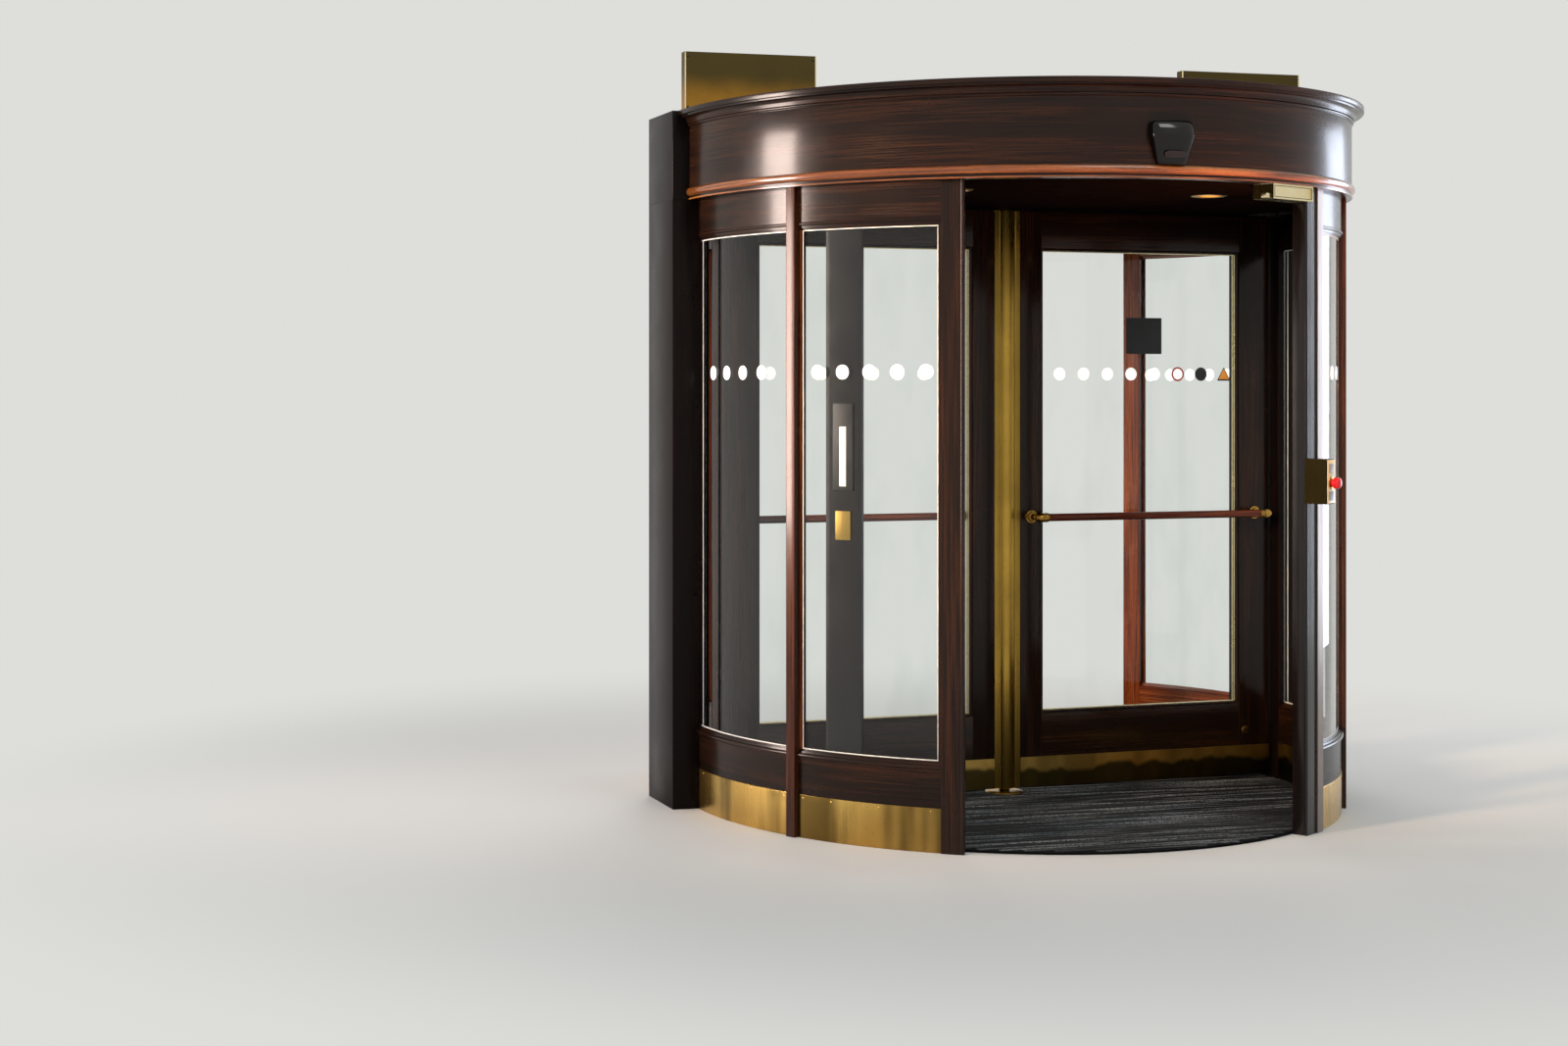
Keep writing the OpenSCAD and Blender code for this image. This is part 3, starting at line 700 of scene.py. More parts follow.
PILE = Moulded("brush_pile_black", "#0c0c0e", "#1a1a1d", roughness=0.9, pit=1.0 * MM,
               depth=0.2 * MM, shine=0.2)
# Painted light: the white film glows a little, standing in for daylight passing through it, so it
# also looks white in shade.
WHITE_FILM = Moulded("film_white", "#f2f4f5", "#e4e8ea", roughness=0.45, glow=0.7)
BLACK_FILM = Moulded("film_black", "#0b0c10", "#13151a", roughness=0.35)
RED_FILM = Moulded("film_red", "#b3261c", "#98201a", roughness=0.4)
AMBER_FILM = Moulded("film_amber", "#e69a2b", "#d0851c", roughness=0.4)
# Plain plywood, its grain drawn as the mahogany's.
DECK_PLY = Mahogany("plywood_roof_deck", Grain.CROSS, "#4e4130", "#5c4b37", "#6c5a42", rough=0.8,
                    coat=0.0, relief=0.3)
LAMP = LampLens("glass_frosted_lamp")


# -------------------------------------------------------------- sub-assemblies

@dataclass
class Drum:
    """The curved wall of the drum: bases, head rails, glass, jambs and ribs."""

    radius: float = 1.236
    inner: float = 1.190
    glass_out: float = 1.224
    glass_in: float = 1.214
    sill: float = 0.296
    head: float = 2.124
    top: float = 2.262
    kick: float = 0.150
    kick_t: float = 0.002
    kick_screw: float = 0.012
    lining_low: float = 0.009
    nose: float = 0.009
    step: float = 0.006
    screw_angles: tuple[tuple[float, ...], tuple[float, ...]] = (
        (36.5, 45.0, 53.5, 59.0, 63.0, 71.0, 79.0, 87.5), (55.0, 62.0, 69.0, 74.0))
    seal_end: float = 89.2
    seal_w: float = 3.2 * MM
    seal_t: float = 1.6 * MM
    room_half: float = 31.4
    street_half: float = 50.0
    jamb_w: float = 0.076
    jamb_out: float = 0.008
    corner_r: float = 0.007
    corner_in: float = 0.004
    rib_angle: float = 61.0
    rib_w: float = 0.040
    rib_out: float = 0.020
    portal_depth: float = 0.310
    portal_x: float = 1.338
    portal_lap: float = 0.046
    canopy_top: float = 2.592
    joint: float = 0.0001
    lock_angle: float = 52.0
    lock_w: float = 0.140

    def degrees(self, length: float, radius: float) -> float:
        """Degrees that a length takes up along a circle."""
        return math.degrees(length / radius)

    def jamb_end(self, room: bool) -> float:
        """Angle at which the jamb post of a doorway ends."""
        half = self.room_half if room else self.street_half
        return half + self.degrees(self.jamb_w, self.radius)

    def runs(self, section: np.ndarray, room: bool, right: bool) -> list[Sheet]:
        """A section carried along one quadrant, cut at the rib or the portal.

        The cut beside the rib follows its flat side: rib angle plus or minus
        asin(w / 2r). The street side ends where r cos a is the portal depth.

        Args:
            section: closed outline of (radius, height).
            room: True for the room side.
            right: True for the right side.

        Returns:
            One sheet, or two with a rib between them.
        """
        r = section[:, 0]
        first = self.jamb_end(room)
        if room:
            half = np.degrees(np.arcsin(self.rib_w / 2 / r))
            last = 90 - self.degrees(self.joint, r.min())
            spans = [(first, self.rib_angle - half), (self.rib_angle + half, last)]
        else:
            spans = [(first, np.degrees(np.arccos((self.portal_depth + self.joint) / r)))]
        flip = (1 if right else -1, 1 if room else -1, 1)
        return [placed(ring(section, *span), flip=flip) for span in spans]

    def all_runs(self, section: np.ndarray, room: bool) -> list[Sheet]:
        """A section on both sides of the room half or the street half."""
        return self.runs(section, room, True) + self.runs(section, room, False)

    def glazing_steps(self, z: float, up: int) -> np.ndarray:
        """Rebate and beads for the pane: above height z (up 1) or below it (up -1)."""
        s, h, front, back = self.step, up * self.step, self.glass_out, self.glass_in
        steps = np.array([
            [self.radius, z + h], [front + s, z + h], [front + s, z + 2 * h], [front, z + 2 * h],
            [front, z], [back, z], [back, z + 2 * h], [back - s, z + 2 * h], [back - s, z],
            [self.inner, z]])
        return soften(steps[::up], MM, 3)

    def base_section(self) -> np.ndarray:
        """Board with a round sill nose, a fillet below it and glazing steps."""
        r, s, n = self.radius, self.step, self.nose
        nose_z, fillet = self.sill - n - MM, self.sill - 2 * n - s
        corners = np.array([[self.inner, 0], [r, 0], [r, fillet], [r + s / 2, fillet],
                            [r + s / 2, nose_z - 0.94 * n]])
        return np.concatenate([
            soften(corners, 1.2 * MM, 3)[:-3], corners[-1:], arc((r, nose_z), n, -66, 88),
            self.glazing_steps(self.sill, 1)])

    def head_section(self) -> np.ndarray:
        """Board with an astragal and glazing steps at its lower edge."""
        bead = arc((self.radius, self.head + self.nose), self.step, -88, 88)
        top = self.top - self.joint
        return np.concatenate([
            self.glazing_steps(self.head, -1), bead, [[self.radius, top], [self.inner, top]]])

    def upright_bead(self, start: float, end: float) -> Sheet:
        """An upright glazing bead in front of the glass."""
        plan = sector(self.glass_out, self.glass_out + self.step, start, end, 1.5 * MM)
        return upright(plan, self.sill + 2 * self.step, self.head - 2 * self.step)

    def jamb(self, room: bool) -> list[Sheet]:
        """A jamb post with a round bead on its corner and a glazing bead."""
        start, end = self.room_half if room else self.street_half, self.jamb_end(room)
        front = self.radius + self.jamb_out
        post = upright(sector(self.inner, front, start, end, 2.5 * MM), 0, self.top, MM)
        corner = start + self.degrees(self.corner_in, self.radius)
        place = on_drum(front - self.corner_in, np.array([corner]), 0)[0]
        bead = upright(arc((0, 0), self.corner_r, 0, 345, 24), MM, self.top - MM)
        strip = self.upright_bead(end - 0.3, end + self.degrees(2 * self.step, self.glass_out))
        return [post, placed(bead, shift=tuple(place)), strip]

    def rib(self) -> list[Sheet]:
        """A projecting rib from floor to canopy, with a glazing bead on each side."""
        half, bead = (self.degrees(w, self.glass_out) for w in (self.rib_w / 2, 2 * self.step))
        side, front = self.rib_w / 2, -self.radius - self.rib_out
        plan = soften(rectangle(-side, side, front, -self.inner), 3 * MM, 5)
        board = placed(upright(plan, 0, self.top, MM), spin(self.rib_angle))
        return [board, self.upright_bead(self.rib_angle + half, self.rib_angle + half + bead),
                self.upright_bead(self.rib_angle - half - bead, self.rib_angle - half)]

    def seals(self) -> list[Sheet]:
        """Pale glazing seals round the panes of one quadrant of the room side.

        A seal is a strip on the outer face of the glass that starts half a
        millimetre inside its glazing bead.
        """
        inside, outside = self.glass_out - 0.2 * MM, self.glass_out + self.seal_t
        low, high, hidden = self.sill + 2 * self.step, self.head - 2 * self.step, 0.5 * MM
        sheets = []
        for z0, z1 in ((low - hidden, low + self.seal_w), (high - self.seal_w, high + hidden)):
            sheets += self.runs(soften(rectangle(inside, outside, z0, z1), 0.4 * MM, 2), True, True)
        wide = self.degrees(self.seal_w, self.glass_out)
        bead = self.degrees(2 * self.step - hidden, self.glass_out)
        rib = self.degrees(self.rib_w / 2, self.glass_out) + bead
        for start in (self.jamb_end(True) + bead, self.rib_angle - rib - wide,
                      self.rib_angle + rib, self.seal_end - wide):
            plan = sector(inside, outside, start, start + wide, 0.4 * MM)
            sheets.append(upright(plan, low, high))
        return sheets

    def portal_post(self) -> list[Sheet]:
        """A post in the building wall: hollowed by the drum, square above it."""
        depth = self.portal_depth
        angle = np.linspace(90, 90 + math.degrees(math.asin(depth / self.inner)), 14)
        hollow = on_drum(self.inner, angle, 0.0)[::-1, :2]
        plan = np.concatenate([hollow, [[self.portal_x, 0], [self.portal_x, depth]]])
        top = rectangle(self.inner - self.portal_lap, self.portal_x, 0, depth)
        return [upright(soften(plan, 3 * MM, 3), 0, self.top, MM),
                upright(soften(top, 3 * MM, 4), self.top, self.canopy_top, MM)]

    def lock_post(self) -> Sheet:
        """A flat post behind the glass."""
        half = self.degrees(self.lock_w / 2, self.inner)
        start, end = self.lock_angle - half, self.lock_angle + half
        plan = sector(self.inner, self.glass_in - self.step, start, end, 2 * MM)
        return upright(plan, self.sill, self.head)

    def build(self, shop: Workshop) -> None:
        """Builds the wall and dresses it."""
        base, head = self.base_section(), self.head_section()
        pane = soften(rectangle(self.glass_in, self.glass_out, self.sill, self.head), MM, 2)
        for side, right in (("left", False), ("right", True)):
            for name, section, finish, slot, node in (
                    ("base_timber", base, ROUND_MAHOGANY, "timber", "base"),
                    ("head_timber", head, ROUND_MAHOGANY, "timber", "head_rail"),
                    ("curved_pane", pane, GLASS, "glass", "wall_glass")):
                shop.piece(f"{name}_room_{side}", self.runs(section, True, right), finish, slot,
                           f"{node}_room_{side}")
            # Painted shade: the right jamb takes the nearly black copy, the left jamb the polished
            # one.
            jamb_shading = BLACK_MAHOGANY if right else UPRIGHT_MAHOGANY
            for name, sheets, finish, node in (
                    ("jamb_timber_room", self.jamb(True), jamb_shading, "jamb_room"),
                    ("portal_timber", self.portal_post(), DARK_MAHOGANY, "portal_post")):
                hand = [placed(s, flip=(1 if right else -1, 1, 1)) for s in sheets]
                shop.piece(f"{name}_{side}", hand, finish, "timber", f"{node}_{side}")
        kick = soften(rectangle(self.radius, self.radius + self.kick_t, 0, self.kick), 0.9 * MM, 4)
        lining = rectangle(self.inner - 0.8 * MM, self.inner + 0.3 * MM, self.lining_low, self.kick)
        for name, sheets, finish, slot, *node in (
                ("base_timber_street", self.all_runs(base, False), SUN_ROUND, "timber",
                 "bases_street"),
                ("head_timber_street", self.all_runs(head, False), SUN_ROUND, "timber",
                 "head_rails_street"),
                ("curved_panes_street", self.all_runs(pane, False), GLASS, "glass",
                 "wall_glass_street"),
                ("jamb_timber_street", mirrored(self.jamb(False), False), SUN_UPRIGHT, "timber",
                 "jambs_street"),
                ("kick_brass_room", self.all_runs(kick, True), KICK_BRASS, "brass",
                 "kick_plates_room"),
                ("kick_brass_street", self.all_runs(kick, False), KICK_BRASS, "brass",
                 "kick_plates_street"),
                ("inner_kick_brass", self.all_runs(lining, True) + self.all_runs(lining, False),
                 LEAF_BRASS, "brass"),
                ("rib_timber", mirrored(self.rib()), RIB_MAHOGANY, "timber", "ribs"),
                ("pane_seals_room", mirrored(self.seals()), SEAL, "seal"),
                ("lock_post_timber", mirrored([self.lock_post()]), BLACK_MAHOGANY, "timber",
                 "lock_posts")):
            shop.piece(name, sheets, finish, slot, *node)
        shop.dress(BRONZE, "cable_cover")

    def screws(self) -> list[Sheet]:
        """Domed screw heads along the top of the kick plates."""
        head = turned(mm([3.6, 0], [3.4, 0.5], [2.6, 1.1], [1.4, 1.5], [0.01, 1.6]), 14)
        place = (0, -self.radius - self.kick_t, self.kick - self.kick_screw)
        sheets = []
        for room, angles in zip((True, False), self.screw_angles):
            for angle in angles:
                sheets += mirrored([faced(head, place, angle)], room)
        return sheets


@dataclass
class Canopy:
    """Fascia, cornice, half-round bead, ceiling, roof deck and closing panels."""

    fascia_r: float = 1.274
    fascia_in: float = 1.224
    low: float = 2.262
    top: float = 2.592
    cornice_h: float = 0.060
    lip_out: float = 0.043
    lip_h: float = 0.018
    step: float = 0.006
    bead_r: float = 0.015
    bead_z: float = 2.291
    portal_depth: float = 0.310

    def halves(self, section: np.ndarray) -> list[Sheet]:
        """A section carried round both halves, each cut flat at the portal."""
        end = np.degrees(np.arccos(self.portal_depth / section[:, 0]))
        return [ring(section, -90.0, 90.0), placed(ring(section, -end, end), flip=(1, -1, 1))]

    def cornice_section(self) -> np.ndarray:
        """Astragal, fillet, cove, step and a square lip, from below."""
        r, z, step = self.fascia_r, self.top - self.cornice_h, self.step
        fillet, foot = r + self.lip_out / 5, 2 * step
        cove = self.cornice_h - foot - self.lip_h - 2 * step
        cove_z = self.top - self.lip_h - step
        edge, lip = fillet + cove, r + self.lip_out
        hollow = arc((edge, cove_z - cove), cove - MM, 178, 92, 12)
        upper = np.array([
            [edge, cove_z], [edge + step / 2, cove_z], [edge + step / 2, cove_z + step],
            [lip, cove_z + step], [lip, self.top], [self.fascia_in, self.top],
            [self.fascia_in, z]])
        return np.concatenate([
            [[r, z]], arc((r, z + step + MM), step, -88, 56),
            [[fillet, z + foot], [fillet, cove_z - cove]], hollow, soften(upper, 1.2 * MM, 3)])

    def build(self, shop: Workshop) -> None:
        """Builds the canopy and dresses its nodes."""
        r, back, reach = self.fascia_r, self.fascia_r - MM, 14.5 * MM
        fascia = rectangle(self.fascia_in, r, self.low, self.top - self.cornice_h)
        round_bead = np.concatenate([
            arc((r - 3 * MM, self.bead_z), self.bead_r, -77, 77, 20),
            [[back, self.bead_z + reach], [back, self.bead_z - reach]]])
        rim = soften(rectangle(back, r + 3 * MM, self.low, self.low + self.step), MM, 3)
        for name, sheets, finish, node in (
                ("fascia_timber", self.halves(soften(fascia, 1.5 * MM, 3)), ROUND_MAHOGANY,
                 "fascia"),
                ("cornice_timber", self.halves(self.cornice_section()), ROUND_MAHOGANY, "cornice"),
                ("fascia_bead", self.halves(round_bead) + self.halves(rim), BEAD_MAHOGANY,
                 "bead")):
            shop.piece(name, sheets, finish, "timber", node)
        shop.dress(DARK_LACQUER, "ceiling")
        shop.dress(DECK_PLY, "roof_deck")
        shop.dress(PANEL_BRASS, "closing_panels")


@dataclass
class Floor:
    """Ribbed mat inside the drum and the round covers of the bearings."""

    mat_r: float = 1.186
    mat_t: float = 0.008
    margin: float = 0.012
    pitch: float = 0.034
    cover_r: float = 0.074
    cover_gap: float = 0.006
    ceiling: float = 2.262

    def ribs(self) -> list[Sheet]:
        """Low rubber ribs across the mat.

        Rib k lies at y_k = k times the pitch and ends at x = sqrt(R^2 - y^2).
        Near the cover it is two ribs that start at x = sqrt(r^2 - y^2).

        Returns:
            One closed sheet for each rib, its section a low trapezium.
        """
        section = mm([-10.4, -0.3], [10.4, -0.3], [8.8, 2.2], [-8.8, 2.2])
        sheets = []
        edge, hole = self.mat_r - self.margin, self.cover_r + self.cover_gap
        count = int(edge / self.pitch)
        for y in np.arange(-count, count + 1) * self.pitch:
            reach = math.sqrt(edge ** 2 - y ** 2)
            start = math.sqrt(max(hole ** 2 - y ** 2, 0.0))
            for x0, x1 in ((-reach, -start), (start, reach)) if start else ((-reach, reach),):
                row = np.stack([np.zeros(4), y + section[:, 0], self.mat_t + section[:, 1]], 1)
                ends = row[None] + np.array([[[x0, 0, 0]], [[x1, 0, 0]]])
                sheets.append((ends, True, True))
        return sheets

    def build(self, shop: Workshop) -> None:
        """Builds the mat ribs and the two bearing covers."""
        shop.dress(MAT_FIBRE, "floor_mat")
        shop.piece("mat_ribs", self.ribs(), MAT_RUBBER, "mat")
        cover = mm([20.1, 0], [62, 0], [62, 8], [72.5, 8], [74, 9], [73.4, 10.5], [70, 12],
                   [66, 12.3], [64.5, 13], [21, 13], [20.1, 12.4])
        top = mm([20.1, 18], [62, 18], [62, 0], [73, 0], [74, -1], [73, -2.6], [68, -3.6],
                 [66, -5], [21, -5], [20.1, -4.4]) + [0, self.ceiling]
        for place, profile, finish in (
                ("floor", cover, POST_BRASS), ("ceiling", top, DARK_LACQUER)):
            shop.piece(f"{place}_bearing_cover", [closed_lathe(profile)], finish, "brass",
                       f"{place}_bearing")


@dataclass
class Rotor:
    """The turning part: centre post, two leaves, push bars and brush seals."""

    turn: float = 3.3
    post_r: float = 0.042
    post_half: float = 0.056
    leaf_t: float = 0.050
    foot: float = 0.025
    top: float = 2.245
    glass_in: float = 0.148
    glass_out: float = 1.034
    stile_out: float = 1.173
    sill: float = 0.307
    head: float = 2.103
    bar_z: float = 1.067
    bar_off: float = 0.080
    rose_in: float = 0.102
    rose_out: float = 1.1035
    rod_r: float = 0.0148
    rod_in: float = 0.029
    brush: float = 0.009
    brush_in: float = 0.082
    tuft: float = 0.0035

    def leaf(self, sheets: list[Sheet], *rights: bool) -> list[Sheet]:
        """Sheets that are drawn along X, turned to each leaf that is named, at rest."""
        turns = [spin(self.turn + (0 if right else 180)) for right in rights]
        return [placed(s, turn) for turn in turns for s in sheets]

    def board(self, x0: float, x1: float, z0: float, z1: float, level: bool) -> Sheet:
        """A stile or a rail with rounded edges, carried along its length."""
        t = self.leaf_t / 2
        if not level:
            return upright(soften(rectangle(x0, x1, -t, t), 2 * MM, 4), z0, z1, 1.5 * MM)
        plan = soften(rectangle(-z1, -z0, -t, t), 2 * MM, 4)
        return placed(upright(plan, x0, x1), TO_X)

    def post(self) -> list[Sheet]:
        """The centre post: a tube between two flat bars, with ribs at its sides."""
        t, h, ease = self.leaf_t / 2, self.post_half, 2 * MM
        corner = math.degrees(math.asin(t / self.post_r))
        front = arc((0, 0), self.post_r, corner - 180, -corner, 28)
        plan = np.concatenate([
            [[-h, t - ease], [-h, ease - t], [ease - h, -t]], front,
            [[h - ease, -t], [h, ease - t], [h, t - ease], [h - ease, t]], -front,
            [[ease - h, t]]])
        side = self.post_r * math.cos(math.radians(corner))
        rib = upright(arc((0, 0), 3.4 * MM, 0, 340, 18), self.foot + MM, self.top - MM)
        ribs = [placed(rib, shift=(x, y, 0)) for x in (-side, side) for y in (-t, t)]
        pin = turned(mm([0.01, 0.001], [19, 1], [20, 3], [20, 2277], [19, 2279], [0.01, 2279]))
        return [upright(plan, self.foot, self.top, MM), *ribs, pin]

    def bead_frame(self, near: float, far: float, inset: float, width: float) -> list[Sheet]:
        """Four strips that line the opening for the glass, on both faces.

        Args:
            near: distance of a strip's back from the middle of the leaf.
            far: distance of its front.
            inset: distance of its outer side from the stile or rail.
            width: width of the strip.

        Returns:
            The strips. Uprights run through, and level strips lie between them.
        """
        x0, x1 = self.glass_in + inset, self.glass_out - inset
        z0, z1 = self.sill + inset, self.head - inset
        sheets = []
        for y0, y1 in ((near, far), (-far, -near)):
            for a, b in ((x0, x0 + width), (x1 - width, x1)):
                sheets.append(upright(soften(rectangle(a, b, y0, y1), 0.4 * width, 4), z0, z1))
            for a, b in ((z0, z0 + width), (z1 - width, z1)):
                plan = soften(rectangle(-b, -a, y0, y1), 0.4 * width, 4)
                sheets.append(placed(upright(plan, x0 + width * 0.7, x1 - width * 0.7), TO_X))
        return sheets

    def on_bar(self, profile: np.ndarray, steps: int, turn: np.ndarray, x: float) -> Sheet:
        """A turned part whose lathe axis starts on the push bar's line at x."""
        y = -self.leaf_t / 2 - self.bar_off
        return placed(turned(profile, steps), turn, (x, y, self.bar_z))

    def push_bar(self) -> list[Sheet]:
        """Brass of a push bar: collars with ball ends, stems and stepped roses."""
        end = mm([0.01, -24], [5, -23.6], [9.5, -21.6], [13.5, -18], [17.4, -11], [19.3, -3],
                 [19.3, 3], [17.4, 11], [15.5, 14.5], [17.8, 16], [18.6, 18.5], [17.8, 21],
                 [15.6, 22.6], [15.6, 24], [17.4, 25.4], [17.4, 28], [15, 30], [0.01, 30])
        stem = mm([0.01, 0], [9, 0], [9, 30], [12, 32], [13.5, 35], [13.5, 37], [12, 40],
                  [9.2, 43], [9.2, 62], [11, 65], [15.6, 66.5], [16.4, 69], [16.4, 72],
                  [18, 73.5], [24.6, 74.4], [26, 76], [26, 80], [0.01, 80])
        far_end = end[::-1] * [1, -1] + [0, self.rose_out - self.rose_in]
        return [*(self.on_bar(part, 32, TO_X, self.rose_in) for part in (end, far_end)),
                *(self.on_bar(stem, 36, TO_Y, x) for x in (self.rose_in, self.rose_out))]

    def rod(self) -> Sheet:
        """The turned mahogany rod between the brass ends of a push bar."""
        low, high = self.rod_in, self.rose_out - self.rose_in - self.rod_in
        line = np.array([[0.01 * MM, low], [self.rod_r, low], [self.rod_r, high],
                         [0.01 * MM, high]])
        return self.on_bar(line, 32, TO_X, self.rose_in)

    def tufts(self) -> list[Sheet]:
        """Brush pile round a leaf.

        Tuft k stands at s_k along the foot, the outer edge and the top. It is
        a wedge 7 mm deep that tapers to its tip and leans by a seeded amount.

        Returns:
            One sheet for each row of tufts, with sunk joints between tufts.
        """
        random = np.random.default_rng(7)
        depth = np.array([-3.5, -1.0, 1.0, 3.5]) * MM
        inner, outer, foot, top = self.brush_in, self.stile_out, self.foot, self.top
        sheets = []
        for start, end, out in (
                ((inner, foot), (outer, foot), (0, -1)),
                ((outer, foot - self.brush), (outer, top + self.brush), (1, 0)),
                ((inner, top), (outer, top), (0, 1))):
            a, b, o = np.array(start), np.array(end), np.array(out)
            count = int(np.linalg.norm(b - a) / self.tuft)
            s = np.repeat(np.arange(count), 3) + np.tile([0.02, 0.5, 0.98], count)
            reach = np.tile([0.84, 1.0, 0.84], count) * (1 - 0.12 * random.random(3 * count))
            lean = np.tile([0, 1, 0], count) * random.uniform(-0.3, 0.3, 3 * count)
            line = a + (b - a) * ((s + lean * 0.5) / count).clip(0, 1)[:, None]
            tips = line + o * (reach * self.brush)[:, None]
            sides = tips * 0.75 + line * 0.25
            columns = zip((line, sides, tips, tips, sides, line), depth[[0, 0, 1, 2, 3, 3]])
            grid = [np.stack([p[:, 0], np.full(len(p), y), p[:, 1]], 1) for p, y in columns]
            sheets.append((np.stack(grid, 1), True, True))
        return sheets

    def build(self, shop: Workshop) -> None:
        """Builds the rotor and dresses its nodes."""
        shop.piece("centre_post_brass", self.leaf(self.post(), True), POST_BRASS, "brass",
                   "centre_post", body=ROTOR)
        near, far, low, high = self.glass_in, self.glass_out, self.foot, self.top
        stiles = [self.board(x0, x1, low, high, False)
                  for x0, x1 in ((self.post_half, near), (far, self.stile_out))]
        rails = [self.board(near, far, z0, z1, True)
                 for z0, z1 in ((low, self.sill), (self.head, high))]
        for side, right in (("right", True), ("left", False)):
            for name, sheets, finish, slot, *node in (
                    ("stile_timber", stiles, UPRIGHT_MAHOGANY, "timber", f"leaf_{side}_stiles"),
                    ("rail_timber", rails, LEAF_MAHOGANY, "timber", f"leaf_{side}_rails"),
                    ("turned_bar", self.push_bar(), BAR_BRASS, "brass", f"leaf_{side}_push_bar"),
                    ("bar_rod", [self.rod()], BAR_MAHOGANY, "timber")):
                shop.piece(f"leaf_{side}_{name}", self.leaf(sheets, right), finish, slot, *node,
                           body=ROTOR)
        shop.dress(GLASS, "leaf_right_glass", "leaf_left_glass")
        shop.dress(LEAF_BRASS, "leaf_kick_plates")
        wide = self.bead_frame(near=0.005, far=0.021, inset=0.0, width=0.0085)
        fine = self.bead_frame(near=0.0049, far=0.0105, inset=0.0084, width=0.0036)
        for name, sheets, finish, slot, *node in (
                ("leaf_bead_timber", wide, UPRIGHT_MAHOGANY, "timber", "leaf_glazing_beads"),
                ("leaf_bead_line", fine, PALE_BRASS, "brass"),
                ("brush_pile", self.tufts(), PILE, "seal", "leaf_seals")):
            shop.piece(name, self.leaf(sheets, True, False), finish, slot, *node, body=ROTOR)


